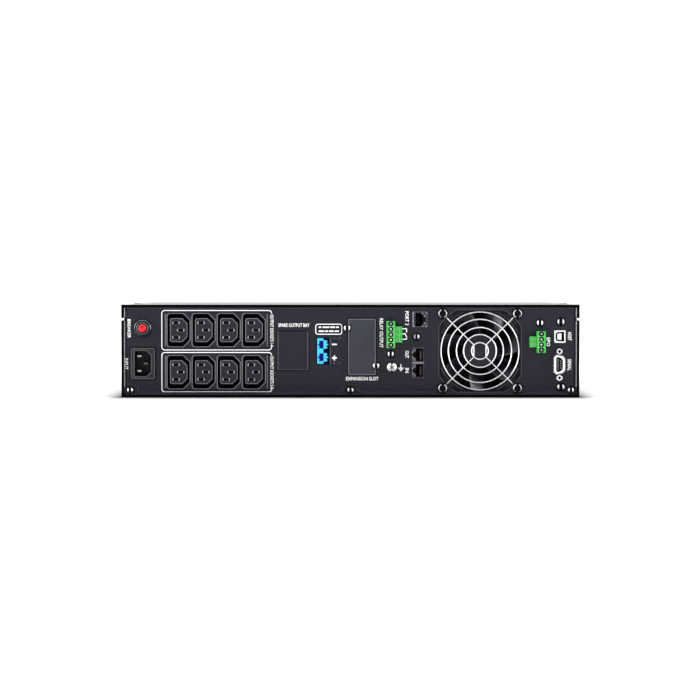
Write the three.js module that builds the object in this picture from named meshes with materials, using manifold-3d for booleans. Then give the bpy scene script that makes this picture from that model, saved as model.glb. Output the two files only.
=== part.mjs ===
// A rack-mount uninterruptible power supply, two units high, in millimetres, +Z up.
// The rear panel faces -Y and the bezel faces +Y. The origin is the middle of the footprint.
import * as THREE from "three";
import { mergeVertices } from "three/addons/utils/BufferGeometryUtils.js";
import Module from "manifold-3d";

const wasm = await Module();
wasm.setup();

// ---------- driving dimensions ----------
const bodyWidth = 438;
const bodyHeight = 88;
const bodyDepth = 430; // rear edge of the shell to the face of the bezel
const rackWidth = 482.6; // outside to outside of the rack ears
const plugReach = 9; // the terminal plugs stand this far behind the shell
const sheet = 1.2; // steel sheet
const gap = 0.3; // left between pieces that touch
const seamLow = 73.3; // the groove between chassis and cover skirt
const seamHigh = 75.6;
const joggle = 2.4; // depth of that groove
const bezelDepth = 34;
const boardThickness = 1.6;

const halfWidth = bodyWidth / 2;
const rear = plugReach - (bodyDepth + plugReach) / 2;
const front = rear + bodyDepth;
const steelFront = front - bezelDepth;
const panelFace = rear + 1.5;
const panelBack = panelFace + sheet;
const coverUnder = bodyHeight - sheet;
const middleHeight = bodyHeight / 2;

// ---------- places on the rear panel: x across, z up ----------
const breakerAt = { x: -198.7, z: 65.8 };
const inletAt = { x: -198.5, z: 32.1, width: 23.5, height: 30.4 };
const outletBank = { x: -128.2, width: 98.3, height: 32.9, upperZ: 64.1, lowerZ: 23.9 };
const outletPitch = 24;
const outletCount = 4;
const blankAt = { x: -55, z: 44.3, width: 29.7, height: 37.4 };
const batterySocketAt = { x: -25.7, z: 44.05, width: 14.6, height: 25.5 };
const slotCoverAt = { x: 11, z: 48, width: 26.5, height: 53.9 };
const slotScrews = [{ x: -14.2, z: 18 }, { x: 13.5, z: -18.1 }];
const relayAt = { x: 38.5, z: 60, poles: 3, side: 1 };
const epoAt = { x: 182, z: 52.9, poles: 2, side: -1 };
const groundAt = { x: 39.6, z: 28.5 };
const networkAt = { x: 66.5, z: 74.4 };
const surgeAt = { x: 64.6, z: 32.8 };
const fanAt = { x: 124, z: 44.1 };
const usbAt = { x: 200.25, z: 57.9 };
const serialAt = { x: 199.7, z: 31.2 };
const edgeScrewX = 211;
const edgeScrewZ = 6.6;

// ---------- materials ----------
function finish(color, roughness, metalness) {
  return new THREE.MeshStandardMaterial({ color, roughness, metalness });
}
const blackPaint = finish(0x25252c, 0.45, 0.3);
const greyPaint = finish(0x3c3c46, 0.45, 0.3);
const blackPlastic = finish(0x17171b, 0.5, 0);
const greyPlastic = finish(0x2c2d35, 0.5, 0);
const bluePlastic = finish(0x3fa8dc, 0.4, 0);
const greenPlastic = finish(0x4fb85a, 0.4, 0);
const redPlastic = finish(0xd92f39, 0.35, 0);
const clearPlastic = finish(0x10151c, 0.1, 0);
const brightMetal = finish(0xc8c8cc, 0.2, 1);
const darkMetal = finish(0x303036, 0.3, 1);
const aluminium = finish(0xa8a9ad, 0.4, 1);
const boardGreen = finish(0x1d5a34, 0.6, 0);
const batteryGrey = finish(0x45474c, 0.6, 0);
const copper = finish(0xb06a3a, 0.4, 1);

// ---------- solids and shapes ----------
// A closed three.js geometry as a solid that can be joined and cut.
function solid(geometry) {
  const bare = geometry.index ? geometry.toNonIndexed() : geometry.clone();
  bare.deleteAttribute("normal");
  bare.deleteAttribute("uv");
  const merged = mergeVertices(bare, 1e-4);
  const corners = merged.index.array;
  const kept = [];
  for (let i = 0; i < corners.length; i += 3) {
    const [a, b, c] = corners.slice(i, i + 3);
    if (a !== b && b !== c && c !== a) kept.push(a, b, c);
  }
  const mesh = new wasm.Mesh({
    numProp: 3,
    vertProperties: merged.attributes.position.array,
    triVerts: new Uint32Array(kept),
  });
  return new wasm.Manifold(mesh);
}

// A solid as a named mesh.
function piece(name, body, material) {
  const mesh = body.getMesh();
  const geometry = new THREE.BufferGeometry();
  geometry.setAttribute("position", new THREE.BufferAttribute(mesh.vertProperties, 3));
  geometry.setIndex(new THREE.BufferAttribute(mesh.triVerts, 1));
  geometry.computeVertexNormals();
  const made = new THREE.Mesh(geometry, material);
  made.name = name;
  return made;
}

function join(solids) {
  return solids.reduce((whole, next) => whole.add(next));
}

function cut(body, cutters) {
  return cutters.reduce((left, next) => left.subtract(next), body);
}

// A box between two opposite corners.
function block(low, high) {
  const size = high.map((value, i) => value - low[i]);
  const geometry = new THREE.BoxGeometry(...size);
  geometry.translate(...low.map((value, i) => value + size[i] / 2));
  return solid(geometry);
}

// A shape drawn in X and Z, run along Y from one depth to another.
function extrudeY(shape, from, to, arcSteps = 6) {
  const options = { depth: to - from, bevelEnabled: false, curveSegments: arcSteps };
  const geometry = new THREE.ExtrudeGeometry(shape, options);
  geometry.rotateX(Math.PI / 2);
  geometry.translate(0, to, 0);
  return solid(geometry);
}

// A shape drawn in Y and Z, run along X.
function extrudeX(shape, from, to) {
  const geometry = new THREE.ExtrudeGeometry(shape, { depth: to - from, bevelEnabled: false });
  const [x, y, z] = [new THREE.Vector3(1, 0, 0), new THREE.Vector3(0, 1, 0), new THREE.Vector3(0, 0, 1)];
  geometry.applyMatrix4(new THREE.Matrix4().makeBasis(y, z, x));
  geometry.translate(from, 0, 0);
  return solid(geometry);
}

// A round bar along Y between two depths, about (x, z).
function barY(radius, from, to, x = 0, z = 0, sides = 20) {
  const geometry = new THREE.CylinderGeometry(radius, radius, to - from, sides);
  geometry.translate(x, (from + to) / 2, z);
  return solid(geometry);
}

// A round body about the Y axis from a profile of [radius, y] points, listed with y rising.
function turnedY(profile, sides = 24) {
  return solid(new THREE.LatheGeometry(profile.map(([r, y]) => new THREE.Vector2(r, y)), sides));
}

const wireSides = 4;

// A ring of round wire about the Y axis.
function wireRing(radius, wire, y, steps) {
  const geometry = new THREE.TorusGeometry(radius, wire, wireSides, steps);
  geometry.rotateX(Math.PI / 2);
  geometry.translate(0, y, 0);
  return solid(geometry);
}

// A rectangle about (x, z) with round corners.
function roundedRect(width, height, radius, x = 0, z = 0) {
  const [l, r, b, t] = [x - width / 2, x + width / 2, z - height / 2, z + height / 2];
  const shape = new THREE.Shape();
  shape.moveTo(l + radius, b);
  shape.lineTo(r - radius, b);
  shape.absarc(r - radius, b + radius, radius, -Math.PI / 2, 0);
  shape.absarc(r - radius, t - radius, radius, 0, Math.PI / 2);
  shape.absarc(l + radius, t - radius, radius, Math.PI / 2, Math.PI);
  shape.absarc(l + radius, b + radius, radius, Math.PI, 1.5 * Math.PI);
  return shape;
}

// A rectangle about (x, z) with both corners on one side cut off: side 1 is +X, -1 is -X.
function chamferedRect(width, height, chamfer, x = 0, z = 0, side = 1) {
  const [far, near] = [(side * width) / 2, (-side * width) / 2];
  const half = height / 2;
  const points = [
    [near, -half], [far - side * chamfer, -half], [far, -half + chamfer],
    [far, half - chamfer], [far - side * chamfer, half], [near, half],
  ];
  return new THREE.Shape(points.map(([px, pz]) => new THREE.Vector2(x + px, z + pz)));
}

function rectangle(width, height, x = 0, z = 0) {
  return chamferedRect(width, height, 0.01, x, z);
}

// ---------- screws ----------
// A domed head with a cross recess and its shank, along Y. The head's underside is at y = 0.
function screw(headRadius, headHeight, shankRadius, shankLength) {
  const rim = headHeight * 0.35;
  const body = turnedY([
    [0, -headHeight], [headRadius * 0.6, -headHeight * 0.88], [headRadius, -rim],
    [headRadius, 0], [shankRadius, 0], [shankRadius, shankLength], [0, shankLength],
  ], 14);
  const arm = headRadius * 0.5;
  const slot = headRadius * 0.13;
  const depth = headHeight * 0.55;
  const cross = join([
    block([-arm, -headHeight - 1, -slot], [arm, depth - headHeight, slot]),
    block([-slot, -headHeight - 1, -arm], [slot, depth - headHeight, arm]),
  ]);
  return body.subtract(cross);
}

// ---------- enclosure ----------
const screwHole = { breaker: 7, ground: 2.2, standoff: 1.9, slotCover: 1.8, edge: 2.1, fan: 2.3 }; // radii
const overlap = { inlet: 3, blankCover: 6, slotCover: 5 }; // how much wider each is than its window
const sideVent = { width: 3, height: 34, count: 12, pitch: 7, firstY: steelFront - 150, z: 38 };

function chassisSide(side) {
  const outline = new THREE.Shape();
  outline.moveTo(rear, 0);
  outline.lineTo(steelFront, 0);
  outline.lineTo(steelFront, seamLow);
  outline.lineTo(rear, seamLow);
  const low = extrudeX(outline, halfWidth - sheet, halfWidth);
  const vents = [];
  for (let i = 0; i < sideVent.count; i += 1) {
    const y = sideVent.firstY + i * sideVent.pitch;
    vents.push(block(
      [halfWidth - 2 * sheet, y, sideVent.z - sideVent.height / 2],
      [halfWidth + 1, y + sideVent.width, sideVent.z + sideVent.height / 2],
    ));
  }
  const inner = halfWidth - joggle;
  const wallStart = panelBack + gap;
  const step = block([inner - sheet, wallStart, seamLow - sheet], [halfWidth, steelFront, seamLow]);
  const high = block([inner - sheet, wallStart, seamLow - sheet], [inner, steelFront, coverUnder - gap]);
  const right = join([cut(low, vents), step, high]);
  return side > 0 ? right : right.mirror([1, 0, 0]);
}

// The turned-in edges behind the rear panel, with tabs for the panel's bottom screws.
const turnedEdge = { chassis: 3.8, cover: 3.5, tabHeight: 12, tabHalfWidth: 6 };
const edgeScrews = [-edgeScrewX, 0, edgeScrewX];

function baseChassis() {
  const floor = block([-halfWidth, rear, 0], [halfWidth, steelFront, sheet]);
  const edgeEnd = halfWidth - 2 * joggle;
  const [from, to] = [panelBack + gap, panelBack + gap + sheet];
  const rearEdge = block([-edgeEnd, from, 0], [edgeEnd, to, turnedEdge.chassis]);
  const tabs = edgeScrews.map((x) => {
    const side = Math.sign(x) || 1;
    const outer = side * Math.min(Math.abs(x) + turnedEdge.tabHalfWidth, edgeEnd);
    const inner = side * (Math.abs(x) - turnedEdge.tabHalfWidth);
    return block([Math.min(outer, inner), from, 0], [Math.max(outer, inner), to, turnedEdge.tabHeight]);
  });
  const holes = edgeScrews.map((x) => barY(screwHole.ground, from - 1, to + 1, x, edgeScrewZ, 12));
  return cut(join([floor, rearEdge, ...tabs, chassisSide(1), chassisSide(-1)]), holes);
}

function topCover() {
  const plate = block([-halfWidth, rear, coverUnder], [halfWidth, steelFront, bodyHeight]);
  const skirt = (side) => block(
    [Math.min(side * halfWidth, side * (halfWidth - sheet)), rear, seamHigh],
    [Math.max(side * halfWidth, side * (halfWidth - sheet)), steelFront, bodyHeight],
  );
  const edgeEnd = halfWidth - 2 * joggle - 1;
  const rearEdge = block(
    [-edgeEnd, panelBack + gap, bodyHeight - turnedEdge.cover],
    [edgeEnd, panelBack + gap + sheet, coverUnder + sheet / 2],
  );
  return join([plate, skirt(1), skirt(-1), rearEdge]);
}

// The opening in front of the fan: a circle trimmed to a square.
const fanSize = 80;
const fanHole = { radius: 45.6, halfSquare: 39.4 };
const fanBolt = 35.75;
const fanCorners = [[-1, -1], [1, -1], [-1, 1], [1, 1]].map(([i, k]) => [i * fanBolt, k * fanBolt]);

function fanOpening(from, to) {
  const round = barY(fanHole.radius, from, to, fanAt.x, fanAt.z, 40);
  const half = fanHole.halfSquare;
  return round.intersect(block(
    [fanAt.x - half, from, fanAt.z - half],
    [fanAt.x + half, to, fanAt.z + half],
  ));
}

function rearPanel() {
  const panelTop = 85.7;
  const panelBottom = 1.6;
  const wide = halfWidth - sheet - gap;
  const narrow = halfWidth - joggle - gap;
  const [from, to] = [panelFace - 2, panelBack + 2];
  const plate = join([
    block([-wide, panelFace, panelBottom], [wide, panelBack, seamLow]),
    block([-narrow, panelFace, panelBottom], [narrow, panelBack, panelTop]),
  ]);
  const hole = (radius, x, z, sides = 12) => barY(radius, from, to, x, z, sides);
  const window = (at, width, height) => {
    const outline = rectangle(width + 2 * gap, height + 2 * gap, at.x, at.z);
    return extrudeY(outline, from, to);
  };
  const bankWindow = (z) => window({ x: outletBank.x, z }, outletBank.width, outletBank.height);
  const cutters = [
    fanOpening(from, to),
    hole(screwHole.breaker, breakerAt.x, breakerAt.z, 24),
    window(inletAt, inletAt.width - overlap.inlet, inletAt.height - overlap.inlet),
    bankWindow(outletBank.upperZ),
    bankWindow(outletBank.lowerZ),
    window(blankAt, blankAt.width - overlap.blankCover, blankAt.height - overlap.blankCover),
    window(batterySocketAt, batterySocketAt.width - 2 * gap, batterySocketAt.height - 2 * gap),
    window(slotCoverAt, slotCoverAt.width - overlap.slotCover, slotCoverAt.height - overlap.slotCover),
    window(relayAt, headerWidth, headerLength(relayAt)),
    window(epoAt, headerWidth, headerLength(epoAt)),
    window(networkAt, jack.width, jack.height),
    window(surgeAt, surge.width, surge.height),
    window(usbAt, usb.width, usb.height),
    extrudeY(serialOutline(gap), from, to),
    hole(screwHole.ground, groundAt.x, groundAt.z),
    ...[-1, 1].map((k) => hole(screwHole.standoff, serialAt.x, serialAt.z + k * serial.standoff)),
    ...slotScrews.map((s) => hole(screwHole.slotCover, slotCoverAt.x + s.x, slotCoverAt.z + s.z)),
    ...edgeScrews.map((x) => hole(screwHole.edge, x, edgeScrewZ)),
    ...fanCorners.map(([x, z]) => hole(screwHole.fan, fanAt.x + x, fanAt.z + z)),
  ];
  return cut(plate, cutters);
}

// ---------- rack ears ----------
const ear = { thickness: 2, sideLength: 62 };
const earSlot = { x: 232.55, pitch: 76.2, width: 10.3, height: 6.8 };

function rackEar(side) {
  const inner = halfWidth + gap;
  const [low, high] = [1, bodyHeight - 1];
  const sidePlate = block(
    [inner, steelFront - ear.sideLength, low],
    [inner + ear.thickness, steelFront + ear.thickness, high],
  );
  const flange = block(
    [inner, steelFront, low],
    [rackWidth / 2, steelFront + ear.thickness, high],
  );
  const slots = [-1, 1].map((k) => {
    const z = middleHeight + (k * earSlot.pitch) / 2;
    const outline = roundedRect(earSlot.width, earSlot.height, earSlot.height / 2 - 0.01, earSlot.x, z);
    return extrudeY(outline, steelFront - 1, steelFront + ear.thickness + 1, 4);
  });
  const right = cut(sidePlate.add(flange), slots);
  return side > 0 ? right : right.mirror([1, 0, 0]);
}

// ---------- breaker and mains inlet ----------
const breaker = { bushing: 6.7, bore: 4.4, nut: 8.5, button: 4, reach: 4.5, buttonReach: 3 };
const breakerCan = { halfWidth: 9, halfHeight: 13, depth: 24, boreDepth: 14 };

function breakerBody() {
  const bodyStart = panelBack + gap;
  const { halfWidth: across, halfHeight: up, depth, boreDepth } = breakerCan;
  const can = block([-across, bodyStart, -up], [across, bodyStart + depth, up]);
  const bushing = barY(breaker.bushing, panelFace - breaker.reach, bodyStart + 1, 0, 0, 24);
  const bore = barY(breaker.bore, panelFace - breaker.reach - 1, bodyStart + boreDepth, 0, 0, 20);
  return can.add(bushing).subtract(bore);
}

function breakerNut() {
  const inside = breaker.bushing + gap;
  const face = panelFace - gap;
  return turnedY([
    [inside, face - 2], [breaker.nut - 0.5, face - 2], [breaker.nut, face - 1.5],
    [breaker.nut, face], [inside, face], [inside, face - 2],
  ], 24);
}

function breakerButton() {
  const tip = panelFace - breaker.reach - breaker.buttonReach;
  const r = breaker.button;
  return turnedY([
    [0, tip], [r * 0.6, tip + 0.25], [r * 0.9, tip + 0.8], [r, tip + 1.6],
    [r, panelBack + 12], [0, panelBack + 12],
  ], 20);
}

const inlet = { cavityWidth: 15.8, cavityHeight: 24.2, chamfer: 4.5, depth: 17, flange: 1.5, pinPitch: 14.2 };
const housingBack = 3; // thickness of the housing behind its cavity
const pinTail = 9; // the pins stand this far out behind the cavity
const inletPins = [
  { name: "inlet_pin_line", x: -3.6, z: inlet.pinPitch / 2 },
  { name: "inlet_pin_neutral", x: -3.6, z: -inlet.pinPitch / 2 },
  { name: "inlet_pin_earth", x: 2.8, z: 0 },
];
const pin = { width: 4, height: 2 };
const [pinRecess, earthPinRecess] = [3.5, 1.5]; // the earth pin meets the plug first

function inletHousing() {
  const face = panelFace - gap - inlet.flange;
  const back = face + inlet.depth + housingBack;
  const flange = extrudeY(roundedRect(inletAt.width, inletAt.height, 1.5), face, panelFace - gap, 3);
  const [width, height] = [inletAt.width - overlap.inlet, inletAt.height - overlap.inlet];
  const body = extrudeY(rectangle(width, height), face + 0.5, back);
  const cavity = extrudeY(
    chamferedRect(inlet.cavityWidth, inlet.cavityHeight, inlet.chamfer),
    face - 1,
    face + inlet.depth,
  );
  const pinHoles = inletPins.map((p) => block(
    [p.x - pin.width / 2 - gap, face + inlet.depth - 1, p.z - pin.height / 2 - gap],
    [p.x + pin.width / 2 + gap, back + 1, p.z + pin.height / 2 + gap],
  ));
  return cut(flange.add(body), [cavity, ...pinHoles]);
}

function inletPin(p) {
  const face = panelFace - gap - inlet.flange;
  const tip = face + (p.x > 0 ? earthPinRecess : pinRecess);
  return block(
    [p.x - pin.width / 2, tip, p.z - pin.height / 2],
    [p.x + pin.width / 2, face + inlet.depth + pinTail, p.z + pin.height / 2],
  );
}

// ---------- outlets ----------
const outlet = {
  moatWidth: 21, moatHeight: 31.5, moatChamfer: 6.2,
  tongueWidth: 16.5, tongueHeight: 22.7, tongueChamfer: 5,
  depth: 17, slotWidth: 5, slotHeight: 2.9, slotPitch: 14, slotX: -2.6, earthX: 1.9,
  reach: 1.2, bodyDepth: 22, flange: 4,
};

function outletBankBody() {
  const face = panelFace - outlet.reach;
  const back = panelBack + outlet.bodyDepth;
  let body = extrudeY(rectangle(outletBank.width, outletBank.height), face, back);
  const flange = rectangle(outletBank.width + outlet.flange, outletBank.height + outlet.flange - 1);
  body = body.add(extrudeY(flange, panelBack + gap, panelBack + 3));
  for (let i = 0; i < outletCount; i += 1) {
    const x = (i - (outletCount - 1) / 2) * outletPitch;
    const moatOutline = chamferedRect(outlet.moatWidth, outlet.moatHeight, outlet.moatChamfer, x);
    const tongueOutline = chamferedRect(outlet.tongueWidth, outlet.tongueHeight, outlet.tongueChamfer, x);
    const moat = extrudeY(moatOutline, face - 1, face + outlet.depth);
    const tongue = extrudeY(tongueOutline, face, back - 1);
    const slot = (sx, sz) => block(
      [x + sx - outlet.slotWidth / 2, face - 1, sz - outlet.slotHeight / 2],
      [x + sx + outlet.slotWidth / 2, face + outlet.depth - 2, sz + outlet.slotHeight / 2],
    );
    body = body.subtract(moat).add(tongue);
    body = cut(body, [
      slot(outlet.slotX, outlet.slotPitch / 2),
      slot(outlet.slotX, -outlet.slotPitch / 2),
      slot(outlet.earthX, 0),
    ]);
  }
  return body;
}

// ---------- covers on the rear ----------
function blankCover() {
  const to = panelFace - gap;
  return extrudeY(roundedRect(blankAt.width, blankAt.height, 0.8), to - 1, to, 2);
}

function slotCover() {
  const to = panelFace - gap;
  const plate = extrudeY(rectangle(slotCoverAt.width, slotCoverAt.height), to - sheet, to);
  const tabRadius = 4.6;
  const tabs = slotScrews.map((s) => barY(tabRadius, to - sheet, to, s.x, s.z, 20));
  const holes = slotScrews.map((s) => barY(screwHole.slotCover, to - sheet - 1, to + 1, s.x, s.z, 12));
  return cut(join([plate, ...tabs]), holes);
}

// ---------- battery connector ----------
// A spine with two prongs to +X; a contact window runs in behind each prong.
const batterySocket = {
  reach: 0.5, depth: 26, left: -7, halfHeight: 12.2, spine: 7, prongEnd: 11.4, prongHalf: 4,
  prongZ: [6.2, -6], windowFrom: 3.3, windowTo: 6.6, windowHalf: 3.6, windowWall: 4,
};

function batteryConnector() {
  const { left, halfHeight, prongHalf, windowHalf } = batterySocket;
  const face = panelFace - batterySocket.reach;
  const back = face + batterySocket.depth;
  const spineEnd = left + batterySocket.spine;
  const spine = block([left, face, -halfHeight], [spineEnd, back, halfHeight]);
  const prongs = batterySocket.prongZ.map((z) => block(
    [spineEnd - 1, face, z - prongHalf],
    [left + batterySocket.prongEnd, back, z + prongHalf],
  ));
  const windows = batterySocket.prongZ.map((z) => block(
    [left + batterySocket.windowFrom, face - 1, z - windowHalf],
    [left + batterySocket.windowTo, back - batterySocket.windowWall, z + windowHalf],
  ));
  return cut(join([spine, ...prongs]), windows);
}

// ---------- screw terminals ----------
const pitch = 5.08;
const headerWidth = 8.3;
const terminal = {
  wall: 1, headerDepth: 12, noseDepth: 8, noseMargin: 2, well: 1.9, wellDepth: 2,
  sideStart: 2.9, sideReach: 10.9, sideSetback: 2, entryFrom: 3.6, entryTo: 7, entryHalf: 1.7, entryDepth: 5,
};

const pocketWidth = headerWidth - 2 * terminal.wall;

// Length of the strip: its poles and the two flange screws.
function headerLength(at) {
  return (at.poles + 2) * pitch;
}

function terminalHeader(at) {
  const start = panelFace;
  const length = headerLength(at);
  const outside = extrudeY(rectangle(headerWidth, length), start, start + terminal.headerDepth);
  const pocket = extrudeY(
    rectangle(pocketWidth, at.poles * pitch + terminal.noseMargin),
    start - 1,
    start + terminal.noseDepth + gap,
  );
  return outside.subtract(pocket);
}

function terminalPlug(at) {
  const length = headerLength(at);
  const tip = rear - plugReach;
  const seat = panelFace - gap;
  const strip = extrudeY(rectangle(headerWidth, length), tip, seat);
  const nose = extrudeY(
    rectangle(pocketWidth - 2 * gap, at.poles * pitch + terminal.noseMargin - 2 * gap),
    seat - 1,
    panelFace + terminal.noseDepth,
  );
  const [from, to] = [at.side * terminal.sideStart, at.side * terminal.sideReach].sort((a, b) => a - b);
  const half = (at.poles * pitch) / 2;
  const sideBlock = block([from, tip + terminal.sideSetback, -half], [to, seat, half]);
  const wells = [];
  for (let i = 0; i < at.poles + 2; i += 1) {
    const z = (i - (at.poles + 1) / 2) * pitch;
    wells.push(barY(terminal.well, tip - 1, tip + terminal.wellDepth, 0, z, 10));
  }
  const entries = [];
  for (let i = 0; i < at.poles; i += 1) {
    const z = (i - (at.poles - 1) / 2) * pitch;
    const edge = at.side * (terminal.sideReach + 1);
    const deep = at.side * (terminal.sideReach - terminal.entryDepth);
    entries.push(block(
      [Math.min(edge, deep), tip + terminal.entryFrom, z - terminal.entryHalf],
      [Math.max(edge, deep), tip + terminal.entryTo, z + terminal.entryHalf],
    ));
  }
  return cut(join([strip, nose, sideBlock]), [...wells, ...entries]);
}

// ---------- modular jacks and ports ----------
const jack = { width: 15, height: 15.4, depth: 15, reach: 0.4 };
const jackHole = { width: 7, height: 12.8, depth: 12.5 };
const surge = { width: 12, height: 29.7, depth: 18, offset: 7.6 };

// The stepped opening of a modular jack, with its latch towards side.
function jackOpening(x, z, side, width, height, latch) {
  const face = panelFace - jack.reach;
  const hole = extrudeY(rectangle(width, height, x, z), face - 1, face + jackHole.depth);
  const step = extrudeY(
    rectangle(latch.width, latch.height, x + side * (width / 2 + latch.width / 2 - 0.05), z + latch.z),
    face - 1,
    face + jackHole.depth - 3,
  );
  return hole.add(step);
}

function networkJack() {
  const face = panelFace - jack.reach;
  const body = extrudeY(rectangle(jack.width, jack.height), face, face + jack.depth);
  const latch = { width: 2.6, height: 6.4, z: 0 };
  return body.subtract(jackOpening(-0.8, -0.3, 1, jackHole.width, jackHole.height, latch));
}

function surgeJackPair() {
  const face = panelFace - jack.reach;
  const body = extrudeY(rectangle(surge.width, surge.height), face, face + surge.depth);
  const latch = { width: 3.2, height: 5.2, z: 0 };
  const openings = [-1, 1].map((k) => jackOpening(1.65, k * surge.offset, -1, 7.1, 12, latch));
  return cut(body, openings);
}

const usb = { width: 10.8, height: 11.9, wall: 2, depth: 14, reach: 1.4 };

function usbPort() {
  const face = panelFace - usb.reach;
  const shell = extrudeY(rectangle(usb.width, usb.height), face, face + usb.depth);
  const mouth = extrudeY(chamferedRect(7.1, 8.5, 1.8, 0, 0, -1), face - 1, face + usb.depth - 3);
  const tongue = block([-2.1, face + 1.2, -3.1], [1.7, face + usb.depth - 2, 3.1]);
  return shell.subtract(mouth).add(tongue);
}

const serial = {
  width: 10.8, longSide: 19.1, shortSide: 15.4, wall: 1, depth: 9, reach: 5.2, standoff: 12.65,
};

// The D outline of the serial port, its long side towards -X, grown by a margin.
function serialOutline(margin, x = serialAt.x, z = serialAt.z) {
  const [left, right] = [-serial.width / 2 - margin, serial.width / 2 + margin];
  const [long, short] = [serial.longSide / 2 + margin, serial.shortSide / 2 + margin];
  const corner = 2.2;
  const points = [
    [left + corner, -long], [right - corner, -short - 0.5], [right, -short + corner],
    [right, short - corner], [right - corner, short + 0.5], [left + corner, long],
    [left, long - corner], [left, corner - long],
  ];
  return new THREE.Shape(points.map(([px, pz]) => new THREE.Vector2(x + px, z + pz)));
}

function serialPort() {
  const face = panelFace - serial.reach;
  const shell = extrudeY(serialOutline(0, 0, 0), face, panelFace + serial.depth);
  const pocket = extrudeY(serialOutline(-serial.wall, 0, 0), face - 1, face + 4.5);
  return shell.subtract(pocket);
}

function standoff() {
  const hex = new THREE.CylinderGeometry(3.1, 3.1, 5, 6);
  hex.translate(0, panelFace - gap - 2.5, 0);
  const stud = barY(1.5, panelFace - 1, panelBack + 5, 0, 0, 12);
  const bore = barY(1.35, panelFace - 8, panelFace - 1.5, 0, 0, 12);
  return solid(hex).add(stud).subtract(bore);
}

// ---------- fan ----------
const guard = { rings: [8, 15.7, 22.5, 30.3, 37.4], wire: 0.7, loop: 3.3, upright: 5.9 };
const fanStart = panelBack + gap + 2 * guard.wire + gap;
const fanBody = { start: fanStart, depth: 25.4, bore: 38.4, hub: 16.2, shaft: 1.5, blades: 7 };
const boltRadius = fanBolt * Math.SQRT2;

// Five rings on two bent wires: each runs in from one corner, down beside the hub and out again.
function fanGuard() {
  const wireY = panelBack + gap + guard.wire;
  const ringY = wireY - 1.6 * guard.wire;
  const innerEnd = guard.rings[0] - guard.wire;
  const steps = (radius) => (radius < 12 ? 12 : 24);
  const rings = guard.rings.map((radius) => wireRing(radius, guard.wire, ringY, steps(radius)));
  const spokes = [];
  for (let i = 0; i < 4; i += 1) {
    const length = boltRadius - guard.loop - innerEnd;
    const bar = new THREE.CylinderGeometry(guard.wire, guard.wire, length, wireSides);
    bar.rotateZ(Math.PI / 2);
    bar.translate(innerEnd + length / 2, wireY, 0);
    bar.rotateY(Math.PI / 4 + (i * Math.PI) / 2);
    spokes.push(solid(bar));
    const loop = new THREE.TorusGeometry(guard.loop, guard.wire, wireSides, 12);
    loop.rotateX(Math.PI / 2);
    loop.translate(boltRadius, wireY, 0);
    loop.rotateY(Math.PI / 4 + (i * Math.PI) / 2);
    spokes.push(solid(loop));
  }
  for (const side of [-1, 1]) {
    const upright = new THREE.CylinderGeometry(guard.wire, guard.wire, 2 * guard.upright, wireSides);
    upright.rotateX(Math.PI / 2);
    upright.translate(side * guard.upright, wireY, 0);
    spokes.push(solid(upright));
  }
  return join([...rings, ...spokes]);
}

function fanFrame() {
  const { start, depth, bore } = fanBody;
  const end = start + depth;
  const flangeDepth = 4;
  const square = (from, to) => extrudeY(roundedRect(fanSize, fanSize, 4), from, to, 3);
  const barrel = barY(fanSize / 2 + 1.6, start, end, 0, 0, 36)
    .intersect(extrudeY(rectangle(fanSize, fanSize), start, end));
  const shell = join([square(start, start + flangeDepth), square(end - flangeDepth, end), barrel]);
  const holes = fanCorners.map(([x, z]) => barY(2.2, start - 1, end + 1, x, z, 8));
  const open = cut(shell, [barY(bore, start - 1, end + 1, 0, 0, 36), ...holes]);
  const strutDepth = 3;
  const motorPlate = barY(fanBody.hub, end - strutDepth, end, 0, 0, 24);
  const shaft = barY(fanBody.shaft, start + 7, end - 1, 0, 0, 10);
  const struts = [];
  for (let i = 0; i < 4; i += 1) {
    const bar = new THREE.BoxGeometry(bore + 1 - fanBody.hub + 2, strutDepth, 3.5);
    bar.translate((bore + 1 + fanBody.hub - 2) / 2, end - strutDepth / 2, 0);
    bar.rotateY(0.35 + (i * Math.PI) / 2);
    struts.push(solid(bar));
  }
  return join([open, motorPlate, shaft, ...struts]);
}

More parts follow.
